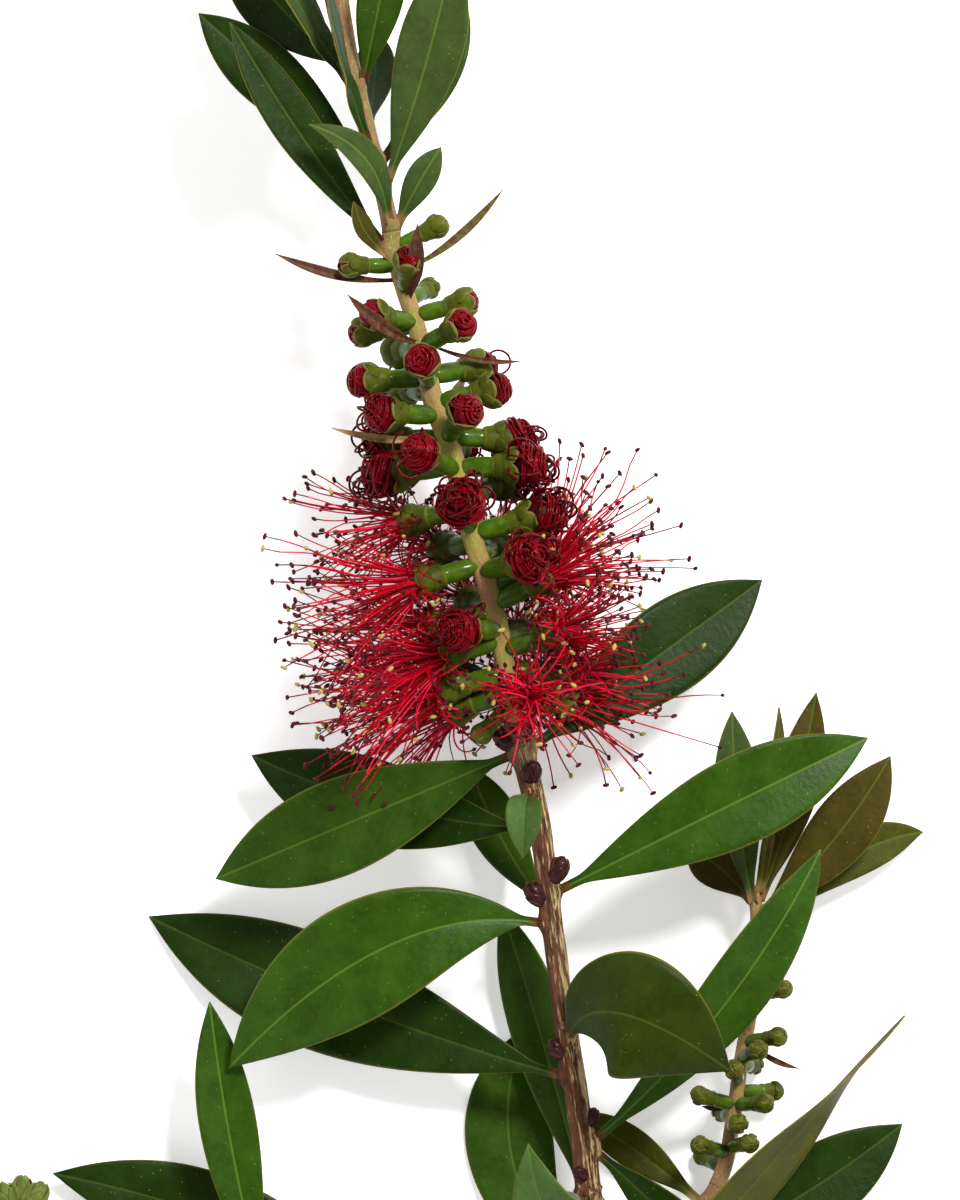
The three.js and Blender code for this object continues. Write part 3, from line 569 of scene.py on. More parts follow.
def mixed(tree, factor, a, b):
    """Colour a where factor is 0 and b where it is 1."""
    a, b = ((*c, 1) if isinstance(c, tuple) else c for c in (a, b))
    return put(tree, "ShaderNodeMix", {0: factor, 6: a, 7: b}, data_type="RGBA").outputs[2]


def tinted(colour, share):
    """A colour made lighter, above 1, or darker."""
    return tuple(min(1.0, c * share) for c in colour)


def material_of(name, roughness, **values):
    """A new material, its node tree and its shader."""
    material = bpy.data.materials.new(name)
    material.use_nodes = True
    tree = material.node_tree
    shader = tree.nodes["Principled BSDF"]
    shader.inputs["Roughness"].default_value = roughness
    for socket, value in values.items():
        shader.inputs[socket.replace("_", " ")].default_value = value
    return material, tree, shader


def group_of(name, inputs, outputs):
    """A new node group: its tree, the sockets its inputs give and those its outputs take."""
    tree = bpy.data.node_groups.new(name, "ShaderNodeTree")
    for label, kind, value in inputs:
        socket = tree.interface.new_socket(name=label, in_out="INPUT", socket_type=kind)
        if value is not None:
            socket.default_value = value
    for label, kind in outputs:
        tree.interface.new_socket(name=label, in_out="OUTPUT", socket_type=kind)
    return (tree, tree.nodes.new("NodeGroupInput").outputs,
            tree.nodes.new("NodeGroupOutput").inputs)


def dress(tree, shader, colour, height=None, distance=0.0, strength=1.0):
    """Gives a shader its colour, and a bump from a height if there is one."""
    tree.links.new(colour, shader.inputs["Base Color"])
    if height is not None:
        bump = put(tree, "ShaderNodeBump", {"Height": height, "Distance": distance,
                                            "Strength": strength})
        tree.links.new(bump.outputs["Normal"], shader.inputs["Normal"])


@functools.cache
def mottle_group():
    """Soft clouds from 0 to 1."""
    tree, given, taken = group_of(
        "Mottle", [("Vector", "NodeSocketVector", None), ("Scale", "NodeSocketFloat", 1.0)],
        [("Clouds", "NodeSocketFloat")])
    clouds = put(tree, "ShaderNodeTexNoise", {"Vector": given["Vector"], "Scale": given["Scale"],
                                              "Detail": 4.0, "Roughness": 0.6})
    tree.links.new(step(tree, clouds.outputs[0], 0.3, 0.7), taken["Clouds"])
    return tree


@functools.cache
def speck_group():
    """Round specks in some of the cells of a pattern."""
    tree, given, taken = group_of(
        "Specks", [("Vector", "NodeSocketVector", None), ("Scale", "NodeSocketFloat", 1.0),
                   ("Radius", "NodeSocketFloat", 0.15), ("Share", "NodeSocketFloat", 0.5)],
        [("Mask", "NodeSocketFloat")])
    cells = put(tree, "ShaderNodeTexVoronoi", {"Vector": given["Vector"],
                                               "Scale": given["Scale"]})
    inner = sums(tree, "MULTIPLY", given["Radius"], 0.5)
    dot = step(tree, cells.outputs["Distance"], given["Radius"], inner)
    shade = put(tree, "ShaderNodeSeparateColor", {0: cells.outputs["Color"]}).outputs[0]
    chosen = sums(tree, "LESS_THAN", shade, given["Share"])
    tree.links.new(sums(tree, "MULTIPLY", dot, chosen), taken["Mask"])
    return tree


@functools.cache
def streak_group():
    """Strips that run along a stem, from its grain: two across it and one along it, in mm."""
    tree, given, taken = group_of(
        "Streaks", [("Grain", "NodeSocketVector", None), ("Scale", "NodeSocketFloat", 1.0),
                    ("Stretch", "NodeSocketVector", (1.0, 1.0, 0.1))],
        [("Strips", "NodeSocketFloat")])
    drawn = put(tree, "ShaderNodeVectorMath", {0: given["Grain"], 1: given["Stretch"]},
                operation="MULTIPLY").outputs[0]
    strips = put(tree, "ShaderNodeTexNoise", {"Vector": drawn, "Scale": given["Scale"],
                                              "Detail": 5.0, "Roughness": 0.62,
                                              "Distortion": 0.4})
    tree.links.new(strips.outputs[0], taken["Strips"])
    return tree


@functools.cache
def blade_group():
    """A blade's midrib, side veins, margin and stalk, from a share across, mm along and mm across."""
    tree, given, taken = group_of(
        "Blade marks", [("Place", "NodeSocketVector", None)],
        [("Rib", "NodeSocketFloat"), ("Veins", "NodeSocketFloat"), ("Margin", "NodeSocketFloat"),
         ("Stalk", "NodeSocketFloat"), ("Flat", "NodeSocketVector")])
    place = put(tree, "ShaderNodeSeparateXYZ", {0: given["Place"]}).outputs
    share = sums(tree, "ABSOLUTE", place[0])
    off = sums(tree, "ABSOLUTE", place[2])
    flat = put(tree, "ShaderNodeCombineXYZ", {0: place[2], 1: place[1]}).outputs[0]
    wander = put(tree, "ShaderNodeTexNoise", {"Vector": flat, "Scale": 0.35}).outputs[0]
    slanted = sums(tree, "SUBTRACT", place[1], sums(tree, "MULTIPLY", off, 1.15))
    phase = sums(tree, "MULTIPLY_ADD", wander, 9.0, sums(tree, "MULTIPLY", slanted, 4.2))
    lines = step(tree, sums(tree, "SINE", phase), 0.72, 1.0)
    tree.links.new(step(tree, off, 0.22, 0.1), taken["Rib"])
    tree.links.new(step(tree, place[1], 2.8, 0.8), taken["Stalk"])
    tree.links.new(lines, taken["Veins"])
    tree.links.new(step(tree, share, 0.95, 0.99), taken["Margin"])
    tree.links.new(flat, taken["Flat"])
    return tree


def grouped(tree, group, **inputs):
    """A node group placed in a tree, with its outputs."""
    return put(tree, "ShaderNodeGroup", inputs, node_tree=group).outputs


def attribute(tree, name):
    """The vector that each point of a piece carries under a name."""
    return put(tree, "ShaderNodeAttribute", attribute_name=name).outputs["Vector"]


def streaks(tree, grain, scale, stretch):
    """Strips along a stem, thinner with scale and longer with less stretch."""
    return grouped(tree, streak_group(), Grain=grain, Scale=scale,
                   Stretch=(1.0, 1.0, stretch))["Strips"]


# ---------------------------------------------------------------- leaf materials

# How each tint of leaf differs from a plain leaf: red, green and blue shares, its roughness and
# how much its midrib shows.
LEAF_TINTS = {
    # deep: partly the leaves' own darker green, partly painted shade of leaves that lie partly in
    # shadow and tilt away from the lamp
    "deep": ((0.44, 0.5, 0.3), 0.42, 0.22),
    "moss": ((0.8, 0.58, 0.1), 0.42, 0.22),
    "mid": ((1.0, 1.0, 1.0), 0.4, 0.4),
    "bright": ((1.1, 1.15, 1.4), 0.36, 0.6),
    "pale": ((2.4, 1.85, 12.0), 0.5, 0.3),
    "olive": ((2.3, 1.0, 1.2), 0.5, 0.35),
    "bronze": ((2.1, 0.62, 0.8), 0.5, 0.3),
    "silky": ((1.6, 1.1, 6.0), 0.55, 0.45),
}
YOUNG_TINTS = ("olive", "bronze", "silky")
UNDER_RIB = 0.8  # how much the midrib shows on every underside
SPECK = paint(146, 162, 60)
MARGIN = paint(128, 114, 42)
STALK = paint(84, 50, 24)
YOUNG_STALK = paint(122, 98, 58)


def blade_marks(tree):
    """The marks of the blade that a piece's points carry."""
    return grouped(tree, blade_group(), Place=attribute(tree, "blade"))


def leaf_base(tree, tint, base, marks, rib_share):
    """A leaf's colour: clouds, oil glands, margin, midrib and reddish stalk; and its patterns."""
    clouds = grouped(tree, mottle_group(), Vector=marks["Flat"], Scale=0.13)["Clouds"]
    fine = grouped(tree, mottle_group(), Vector=marks["Flat"], Scale=0.9)["Clouds"]
    glands = grouped(tree, speck_group(), Vector=marks["Flat"], Scale=1.15, Radius=0.13,
                     Share=0.34)["Mask"]
    body = mixed(tree, clouds, tinted(base, 0.7), tinted(base, 1.25))
    body = mixed(tree, sums(tree, "MULTIPLY", fine, 0.3), body, tinted(base, 1.5))
    body = mixed(tree, sums(tree, "MULTIPLY", marks["Veins"], 0.1), body, tinted(base, 1.8))
    body = mixed(tree, sums(tree, "MULTIPLY", glands, 0.4), body, SPECK)
    body = mixed(tree, sums(tree, "MULTIPLY", marks["Margin"], 0.4), body, MARGIN)
    body = mixed(tree, sums(tree, "MULTIPLY", marks["Rib"], rib_share), body,
                 tuple(colours().rib))
    body = mixed(tree, marks["Stalk"], body, YOUNG_STALK if tint in YOUNG_TINTS else STALK)
    return body, clouds, fine, glands


@functools.cache
def leaf_upper(tint):
    """The upper face of a leaf: dark and glossy, with a fine midrib and pale oil glands."""
    shares, roughness, rib_share = LEAF_TINTS[tint]
    base = tuple(c * s for c, s in zip(colours().leaf, shares))
    material, tree, shader = material_of(f"Leaf {tint}", roughness, Specular_IOR_Level=0.1)
    marks = blade_marks(tree)
    body, clouds, fine, glands = leaf_base(tree, tint, base, marks, rib_share)
    grit = put(tree, "ShaderNodeTexNoise", {"Vector": marks["Flat"], "Scale": 5.5,
                                            "Detail": 3.0, "Roughness": 0.7}).outputs[0]
    height = sums(tree, "MULTIPLY_ADD", glands, 0.6, grit)
    height = sums(tree, "MULTIPLY_ADD", fine, 1.2, height)
    rough = sums(tree, "MULTIPLY_ADD", clouds, 0.14, roughness - 0.07)
    tree.links.new(rough, shader.inputs["Roughness"])
    dress(tree, shader, body, height, 0.00003, 0.8)
    return material


@functools.cache
def leaf_under(tint):
    """The lower face of a leaf: paler and duller, with a raised rib."""
    shares, _, _ = LEAF_TINTS[tint]
    base = tuple(c * (0.4 + 0.6 * s) for c, s in zip(colours().underside, shares))
    material, tree, shader = material_of(f"Leaf underside {tint}", 0.62, Specular_IOR_Level=0.07)
    body, _, fine, _ = leaf_base(tree, tint, base, blade_marks(tree), UNDER_RIB)
    dress(tree, shader, body, fine, 0.00008, 0.6)
    return material


@functools.cache
def leaf_margin():
    """The thin pale brown edge of a leaf."""
    material, tree, shader = material_of("Leaf margin", 0.6, Specular_IOR_Level=0.12)
    place = attribute(tree, "blade")
    clouds = grouped(tree, mottle_group(), Vector=place, Scale=0.6)["Clouds"]
    dress(tree, shader, mixed(tree, clouds, MARGIN, tinted(MARGIN, 0.45)))
    return material


# ---------------------------------------------------------------- other materials


@functools.cache
def bark():
    """Red-brown bark that splits into fine pale strips, with more of them towards the lamp as a
    painted highlight.
    """
    material, tree, shader = material_of("Bark", 0.72, Specular_IOR_Level=0.15)
    grain = attribute(tree, "grain")
    place = put(tree, "ShaderNodeSeparateXYZ", {0: grain}).outputs
    broad, strips, threads = (streaks(tree, grain, *row)
                              for row in ((0.9, 0.12), (2.6, 0.09), (6.0, 0.14)))
    # painted highlight: extra pale strips on the stem's right side, the side that faces the lamp
    side = sums(tree, "MULTIPLY", step(tree, place[1], -1.6, 1.6), 0.12)
    lean = sums(tree, "ADD", sums(tree, "MULTIPLY_ADD", broad, 0.45, side), strips)
    pale = step(tree, lean, 0.79, 0.88)
    dark = mixed(tree, step(tree, threads, 0.4, 0.62), tinted(colours().bark, 0.45),
                 tinted(colours().bark, 1.6))
    dark = mixed(tree, step(tree, broad, 0.42, 0.6), dark, tinted(colours().bark, 1.9))
    light = mixed(tree, step(tree, threads, 0.36, 0.62), tinted(colours().bark_streak, 0.4),
                  tuple(colours().bark_streak))
    young = step(tree, place[2], -27.0, -21.0)
    body = mixed(tree, pale, dark, light)
    body = mixed(tree, sums(tree, "MULTIPLY", young, 0.5), body, paint(120, 96, 66))
    dress(tree, shader, body, sums(tree, "ADD", pale, threads), 0.00022)
    return material


@functools.cache
def cut_wood():
    """The cut end: a dark pith, pale wood and a thin brown rind."""
    material, tree, shader = material_of("Cut wood", 0.8, Specular_IOR_Level=0.15)
    grain = put(tree, "ShaderNodeSeparateXYZ", {0: attribute(tree, "grain")}).outputs
    wide = sums(tree, "MULTIPLY", grain[0], grain[0])
    off = sums(tree, "SQRT", sums(tree, "MULTIPLY_ADD", grain[1], grain[1], wide))
    wood = mixed(tree, step(tree, off, 0.2, 0.42), paint(112, 84, 50), paint(206, 184, 136))
    dress(tree, shader, mixed(tree, step(tree, off, 1.75, 1.95), wood, paint(84, 58, 38)))
    return material


@functools.cache
def young_bark(name, green, blush, balance, upper=None):
    """The skin of a young stem, green on one side and pink on the other, with pale down.

    The two colours turn to those in upper between 46 and 53 along the stem.
    """
    material, tree, shader = material_of(name, 0.58, Specular_IOR_Level=0.15)
    grain = attribute(tree, "grain")
    strips, down = (streaks(tree, grain, *row) for row in ((1.1, 0.16), (9.0, 0.25)))
    if upper:
        high = step(tree, put(tree, "ShaderNodeSeparateXYZ", {0: grain}).outputs[2], 46.0, 53.0)
        green, blush = (mixed(tree, high, a, b) for a, b in zip((green, blush), upper))
    body = mixed(tree, step(tree, strips, balance - 0.1, balance + 0.1), green, blush)
    body = mixed(tree, sums(tree, "MULTIPLY", step(tree, down, 0.52, 0.7), 0.45), body,
                 paint(222, 208, 170))
    dress(tree, shader, body, sums(tree, "ADD", strips, down), 0.00015)
    return material


def axis_bark():
    """The skin of the axis, paler in the spike than in the leafy tip."""
    return young_bark("Axis bark", paint(138, 132, 50), paint(150, 110, 74), 0.5,
                      (paint(118, 108, 52), paint(130, 92, 64)))


def shoot_bark(name, green, blush, balance):
    """The skin of a side stem, from shares of the young stems' green and pink."""
    return young_bark(name, tinted(colours().shoot, green), tinted(colours().blush, blush),
                      balance)


@functools.cache
def skin(name, colour, roughness, variation=0.2, scale=900.0, coat=0.0, gloss=0.08):
    """A plain plant surface whose colour drifts a little from place to place."""
    material, tree, shader = material_of(name, roughness, Coat_Weight=coat,
                                         Specular_IOR_Level=gloss)
    place = put(tree, "ShaderNodeTexCoord").outputs["Object"]
    clouds = grouped(tree, mottle_group(), Vector=place, Scale=scale)["Clouds"]
    body = mixed(tree, clouds, tinted(colour, 1 - variation), tinted(colour, 1 + variation))
    dress(tree, shader, body, clouds, 0.00004, 0.5)
    return material


def cup_materials():
    """The tube, the ring under the calyx, the calyx and its floor."""
    cup = tuple(colours().cup)
    petal = tuple(colours().petal)
    return [skin("Flower tube", cup, 0.3, 0.3, 500.0, 0.2),
            skin("Calyx ring", paint(92, 92, 26), 0.5),
            skin("Calyx", petal, 0.45, 0.3, 500.0),
            skin("Flower floor", paint(60, 20, 14), 0.5)]


def petal_materials():
    """A petal's face and its pale downy rim."""
    return [skin("Petal", tuple(colours().petal), 0.45, 0.35, 450.0),
            skin("Petal rim", paint(98, 92, 44), 0.6)]


def stamen_materials():
    """The reds of the plain filaments, of those with a painted pink highlight, of those in painted
    shade, and of their tips.
    """
    red = tuple(colours().stamen)
    # painted highlight: a lighter, pinker red for filaments drawn as if the lamp catches them
    light = (red[0] * 1.4, red[1] * 9.0, red[2] * 4.0)
    return [skin("Stamen", red, 0.3, 0.15, 300.0),
            skin("Stamen painted highlight", light, 0.3, 0.15, 300.0),
            # painted shade: a darker red for filaments drawn as if they lie in shadow
            skin("Stamen painted shade", tinted(red, 0.5), 0.3, 0.15, 300.0),
            skin("Stamen tip", tinted(red, 0.26), 0.4, 0.15, 300.0)]


def coil_materials():
    """The glossy dark reds of the coiled stamens, and of the shade between them."""
    red = tuple(colours().stamen)
    return [skin("Coil", tinted(red, 0.31), 0.16, 0.2, 300.0),
            skin("Dark coil", tinted(red, 0.18), 0.16, 0.2, 300.0),
            skin("Coil shade", tinted(red, 0.1), 0.5, 0.12)]


BRACT_TINTS = {
    "red": (paint(74, 24, 26), paint(92, 66, 38)),
    "olive": (paint(78, 48, 32), paint(94, 92, 42)),
    "tan": (paint(128, 96, 56), paint(150, 124, 78)),
}


@functools.cache
def bract_face(tint):
    """A bract's face, dark with lighter clouds."""
    dark, light = BRACT_TINTS[tint]
    material, tree, shader = material_of(f"Bract {tint}", 0.55, Specular_IOR_Level=0.15)
    clouds = grouped(tree, mottle_group(), Vector=blade_marks(tree)["Flat"], Scale=0.9)["Clouds"]
    dress(tree, shader, mixed(tree, clouds, dark, light), clouds, 0.0001)
    return material


# ---------------------------------------------------------------- leaves

LEAF_COLUMNS = 18
LEAF_ROWS = 54
PETIOLE_SHARE = 0.045  # share of a leaf's length that its stalk takes
WIDEST = 0.4007  # what makes the outline 1 at its widest


def outline(t):
    """Half the width of a leaf at a share of its length, as a share of its widest half."""
    s = np.clip((t - PETIOLE_SHARE) / (1 - PETIOLE_SHARE), 0, 1)
    return s**0.95 * (1 - s**2.1) / WIDEST


def add_blade(heap, midrib, width, face, rolls, rise, seed, thickness, petiole, slots=(0, 1, 2)):
    """Adds a blade along a midrib of Bezier points that faces the stated way."""
    draw = random.Random(seed)
    form = slab(LEAF_COLUMNS, LEAF_ROWS)
    u = np.sign(form.points[:, 0]) * np.abs(form.points[:, 0]) ** 1.35
    t = (form.points[:, 1] + 1) / 2
    layer = form.points[:, 2]
    ahead, behind = np.minimum(t + 0.004, 1), np.maximum(t - 0.004, 0)
    along = unit(bezier(midrib, ahead) - bezier(midrib, behind))
    normal = square_to(face, along)
    roll = rolls[0] + (rolls[1] - rolls[0]) * t
    angle = np.radians(roll * np.minimum(1, 3 * t))[:, None]
    normal = normal * np.cos(angle) + np.cross(along, normal) * np.sin(angle)
    side = np.cross(along, normal)
    blade = outline(t) * width / 2
    stalk = petiole / 2 * (1 - smooth(0.1, 0.9, t)) + 0.08
    half = (blade**4 + stalk**4) ** 0.25
    off = np.abs(u) * half
    waves = draw.uniform(1.6, 2.6)
    phase = draw.uniform(0, math.tau)
    wave = 0.035 * blade * u**2 * np.sin(math.tau * waves * t + phase + np.sign(u) * 1.1)
    channel = 0.55 * stalk * u**2 * (1 - smooth(0.04, 0.12, t))
    lifted = off * math.tan(math.radians(rise)) + wave + channel
    fading = 1 - 0.75 * t
    groove = 0.16 * np.exp(-((off / 0.32) ** 2)) * fading * smooth(0.02, 0.1, t)
    ridge = 0.34 * np.exp(-((off / 0.4) ** 2)) * fading
    half_thick = thickness / 2 * (1 - 0.55 * np.abs(u) ** 6) * (1 - 0.4 * smooth(0.85, 1, t))
    top = half_thick - groove
    low = -half_thick - ridge - 0.25 * (1 - smooth(0.03, 0.1, t))
    depth = np.where(layer > 0, top, low)
    points = bezier(midrib, t) + side * (u * half)[:, None] + normal * (lifted + depth)[:, None]
    floor = (layer + 0.5) * thickness + 0.06
    points[:, 2] = np.maximum(points[:, 2], floor)
    length = np.linalg.norm(np.diff(bezier(midrib, np.linspace(0, 1, 40)), axis=0), axis=1).sum()
    marks = np.stack([u, t * length, u * half], -1)
    level = np.round(form.middles[:, 2] * 2).astype(int)
    slot = np.choose(level + 1, [slots[1], slots[2], slots[0]])
    heap.add(form, points, slot, marks)


def petiole_foot(stem, place, target):
    """Where a petiole leaves its stem's skin towards a target."""
    seat = stem.seat(place)
    out = square_to(target - seat.point, seat.along)
    return seat.point + out * seat.radius


def leaf_midrib(row):
    """The midrib of a plain leaf."""
    _, stem, place, tip, bow = row[:5]
    tip, bow = np.array(tip), np.array(bow)
    foot = petiole_foot(STEMS[stem], place, tip + bow * 2)
    return [foot, (foot + tip) / 2 + bow * 2, tip]


def turned_midrib(row):
    """The midrib of a leaf that turns towards the eye."""
    _, stem, place, (near, far), tip = row[:5]
    near = np.array(near)
    return [petiole_foot(STEMS[stem], place, near), near, np.array(far), np.array(tip)]


def make_leaf(name, midrib, width, face, rolls, rise, tint):
    """One leaf as a piece of its own, in the place of its node."""
    heap = Heap("blade")
    add_blade(heap, midrib, width, face, rolls, rise, name, sizes().leaf_thickness / MM,
              sizes().petiole_width / MM)
    heap.piece(f"blade_{name}", [leaf_upper(tint), leaf_under(tint), leaf_margin()],
               "young_leaf" if tint in YOUNG_TINTS else "leaf", [f"leaf_{name}"])


# ---------------------------------------------------------------- stems

SWELLING = 0.45  # how much thicker a stem is under a petiole, as a share of its radius
NODE_SPREAD = 1.3  # and over what length, in mm
SCARS = (-18.6, -19.6, -20.5, -21.6, -89.0, -106.4)  # places of the ring scars on the wood
SCAR_HEIGHT = 0.16  # as a share of the stem's radius
SCAR_SPREAD = 0.28


def swellings(stem):
    """Where a stem swells under its petioles: (place, direction) pairs."""
    rows = [(r[2], leaf_midrib(r)) for r in LEAVES if r[1] == stem]
    rows += [(r[2], turned_midrib(r)) for r in TURNED_LEAVES if r[1] == stem]
    found = []
    for place, midrib in rows:
        seat = STEMS[stem].seat(place)
        found.append((place, square_to(midrib[1] - seat.point, seat.along)))
    return found


def add_stem(heap, name, first, last, sides, steps, relief, scars=(), end_slot=0):
    """Adds a stretch of a stem with lengthwise relief, ring scars and swollen nodes."""
    stem = STEMS[name]
    form = rolled(sides, steps)
    x, y, share = form.points.T
    place = first + (last - first) * share
    seat = stem.seat(place)
    right = np.cross(seat.along, seat.up)
    around = seat.up * x[:, None] + right * y[:, None]
    tall = np.sign(last - first)
    coarse = ripple(np.stack([x * 1.6, y * 1.6, place * 0.09], -1))
    fine = ripple(np.stack([x * 5.0, y * 5.0, place * 0.16 + 7], -1))
    grown = relief * (0.6 * coarse + 0.5 * fine)
    for scar in scars:
        grown = grown + SCAR_HEIGHT * np.exp(-(((place - scar) / SCAR_SPREAD) ** 2))
    for spot, out in swellings(name):
        facing = np.maximum(0, (around * out).sum(-1))
        grown = grown + SWELLING * facing**3 * np.exp(-(((place - spot) / NODE_SPREAD) ** 2))
    radius = seat.radius * (1 + grown)
    points = seat.point + around * radius[:, None]
    marks = np.stack([x * radius, y * radius, place * tall], -1)
    ends = (form.counts > 4) & (form.middles[:, 2] < 0.5)
    heap.add(form, points, np.where(ends, end_slot, 0), marks)


def young_stem(piece, node, material, stem, first, last, sides, steps, relief):
    """A stretch of a young stem as a piece, in the place of its node."""
    heap = Heap("grain")
    add_stem(heap, stem, first, last, sides, steps, relief)
    heap.piece(piece, [material], "shoot", [node])


# ---------------------------------------------------------------- flowers


def grown_share(openness):
    """How large a flower is beside a full-grown one."""
    return 0.72 + 0.28 * min(1.0, openness * 2.2)


def ball_radius(openness):
    """The radius of the stamens coiled in a flower that has not opened."""
    return SMALLEST_BALL + (LARGEST_BALL - SMALLEST_BALL) * min(1.0, openness * 1.4)


def ball_rise(openness):
    """How far the centre of that ball stands out of its cup."""
    return ball_radius(openness) * (0.25 + 0.35 * float(smooth(0.42, 0.72, openness)))


def head_share(openness):
    """How wide a flower's calyx is beside its tube; it is slimmer in a young bud."""
    return 0.8 + 0.2 * min(1.0, openness * 4)


def add_cup(heap, seat, size, head):
    """Adds a flower's tube and calyx, its foot inside the axis."""
    first, second = across(seat.out)
    form = turned_cup(20)
    x, y, h = (form.points[:, k : k + 1] for k in range(3))
    wide = size * (1 + (head - 1) * smooth(3.9, 5.2, h))
    points = seat.point + wide * (x * first + y * second) + (seat.radius + h * size) * seat.out
    height = form.middles[:, 2]
    inner = np.hypot(form.middles[:, 0], form.middles[:, 1]) < 1.7
    slot = np.select([height < TUBE_TOP, height < RING_TOP, inner], [0, 1, 3], 2)
    heap.add(form, points, slot)


def add_scale(heap, form, centre, out, radius, from_tip, to_tip, turn, spread, thick, flare,
              point=0.0):
    """Adds a rounded scale laid on a sphere, between two angles from its pole."""
    first, second = across(out)
    u, v, layer = form.points.T
    x = u * np.sqrt(1 - v**2 / 2)
    y = v * np.sqrt(1 - u**2 / 2)
    low, high = math.radians(from_tip), math.radians(to_tip)
    polar = (low + high) / 2 - y * (high - low) / 2
    narrow = 1 - point * smooth(-0.2, 1.0, y)
    around = math.radians(turn) + x * math.radians(spread) * narrow
    rim = x**2 + y**2
    reach = radius + thick * layer * (1 - 0.35 * rim) + flare * rim * smooth(-0.6, 0.8, y)
    direction = (np.cos(polar)[:, None] * out
                 + np.sin(polar)[:, None] * (np.cos(around)[:, None] * first
                                             + np.sin(around)[:, None] * second))
    edge = np.maximum(np.abs(form.middles[:, 0]), form.middles[:, 1]) > 0.86
    heap.add(form, centre + direction * reach[:, None], edge.astype(int))


PETALS = 5
# How far a petal's tip lies from the pole of the ball that it holds, in degrees, by openness.
PETAL_TIPS = ([0, 0.08, 0.15, 0.25, 0.4, 0.6, 0.76, 1], [1, 10, 30, 52, 80, 92, 70, 62])


def petal_hold(openness, size):
    """The radius that the petals close on."""
    least = 2.1 * size * head_share(openness)
    return max(least, min(0.2 + ball_radius(openness), 2.7)) if openness < OPEN else 2.4


def add_petals(heap, seat, size, openness, seed):
    """Adds five petals and five calyx lobes that hold a flower's stamens."""
    draw = random.Random(seed)
    hold = petal_hold(openness, size)
    centre = seat.point + seat.out * (seat.radius + CUP_MOUTH * size + min(0.9, hold * 0.25))
    tip = np.interp(openness, *PETAL_TIPS)
    base = 180 - math.degrees(math.asin(min(0.98, 1.7 * size / hold)))
    for i in range(PETALS):
        turn = i * 360 / PETALS + draw.uniform(-6, 6) + seed * 31
        add_scale(heap, slab(8, 8), centre, seat.out, hold + 0.05 * i, tip + draw.uniform(-4, 4),
                  base + 10, turn, 40, 0.28, 0.03)
        add_scale(heap, slab(6, 6), centre, seat.out, hold + 0.2, tip * 0.5 + 60, base + 16,
                  turn + 36, 27, 0.34, 0.02)


def arc(centre, first, second, out, radius, cone, start, sweep_by, share):
    """Points of an arc on a sphere, at a cone angle about out, for each share."""
    angle = start + sweep_by * share
    ring = np.cos(angle)[:, None] * first + np.sin(angle)[:, None] * second
    return centre + (ring * np.sin(cone)[:, None] + out * np.cos(cone)[:, None]) * radius[:, None]


COIL_STEPS = 18
COIL_SEED = 500
# the dark ball is painted shade that stands for the shaded coils deep inside
COIL_CORE = 0.84  # radius of the dark ball inside the coils, as a share of theirs
COILS_MEET = 24.3  # place where the upper and the lower piece of coils meet


def coil_paths(seat, size, openness, draw):
    """The coiled filaments of a closed flower, wound round a point near its pole."""
    radius = ball_radius(openness)
    centre = seat.point + seat.out * (seat.radius + CUP_MOUTH * size + ball_rise(openness))
    rough = 0.05 + 0.3 * max(0.0, openness - 0.5)
    share = np.linspace(0, 1, COIL_STEPS + 1)
    dip = 1 - 0.3 * smooth(0.78, 1, share) - 0.3 * smooth(0.22, 0, share)
    count = int(sizes().coils * (0.45 + 0.55 * radius / LARGEST_BALL))
    paths = []
    foci = [unit(seat.out + 0.55 * np.array([draw.gauss(0, 1) for _ in range(3)]) * w)
            for w in (0.5, 1.0)]
    for i in range(count):
        focus = foci[0] if draw.random() < 0.66 else foci[1]
        first, second = across(focus)
        cone = math.radians(9 + 92 * (i + draw.random()) / count)
        drift = math.radians(draw.uniform(-16, 16)) * (share - 0.5)
        reach = radius * (1 + rough * draw.uniform(-1, 1)) * dip
        turn = math.radians(draw.uniform(130, 300))
        paths.append(arc(centre, first, second, focus, reach, cone + drift,
                         draw.uniform(0, math.tau), turn, share))
    return centre, radius, paths


def loose_paths(centre, radius, out, openness, draw):
    """Filaments that have sprung out of a loosening ball in loops."""
    share = np.linspace(0, 1, COIL_STEPS + 1)
    paths = []
    for _ in range(int(110 * max(0.0, openness - 0.44))):
        focus = unit(out * 0.9 + np.array([draw.gauss(0, 0.7) for _ in range(3)]))
        first, second = across(focus)
        middle = centre + focus * radius * draw.uniform(0.5, 0.95)
        loop = draw.uniform(0.9, 1.5 + openness)
        turn = draw.uniform(0, math.tau)
        angle = share * draw.uniform(3.2, 5.8)
        tilt = unit(first * math.cos(turn) + second * math.sin(turn))
        paths.append(middle + loop * (np.sin(angle)[:, None] * focus
                                      + (1 - np.cos(angle))[:, None] * tilt)
                     + share[:, None] * np.cross(focus, tilt) * draw.uniform(-1.5, 1.5))
    return paths


FILAMENT_STEPS = 12
FILAMENT_SEED = 77
POLLEN_SHARE = 0.14  # of the anthers are yellow with pollen
FLOOR_GAP = 0.35  # height at which the lowest filaments lie
FLOOR_EASE = 3.0  # height above that within which they level out
FACING = 0.75  # upward part of a flower's direction from which it faces the eye


def settle(paths):
    """Bends paths that would pass through the surface so that they lie along it."""
    over = (paths[..., 2] - FLOOR_GAP) / FLOOR_EASE
    eased = np.where(over > 1, over, np.exp(np.minimum(over, 1) - 1))
    paths[..., 2] = FLOOR_GAP + FLOOR_EASE * eased
    return paths


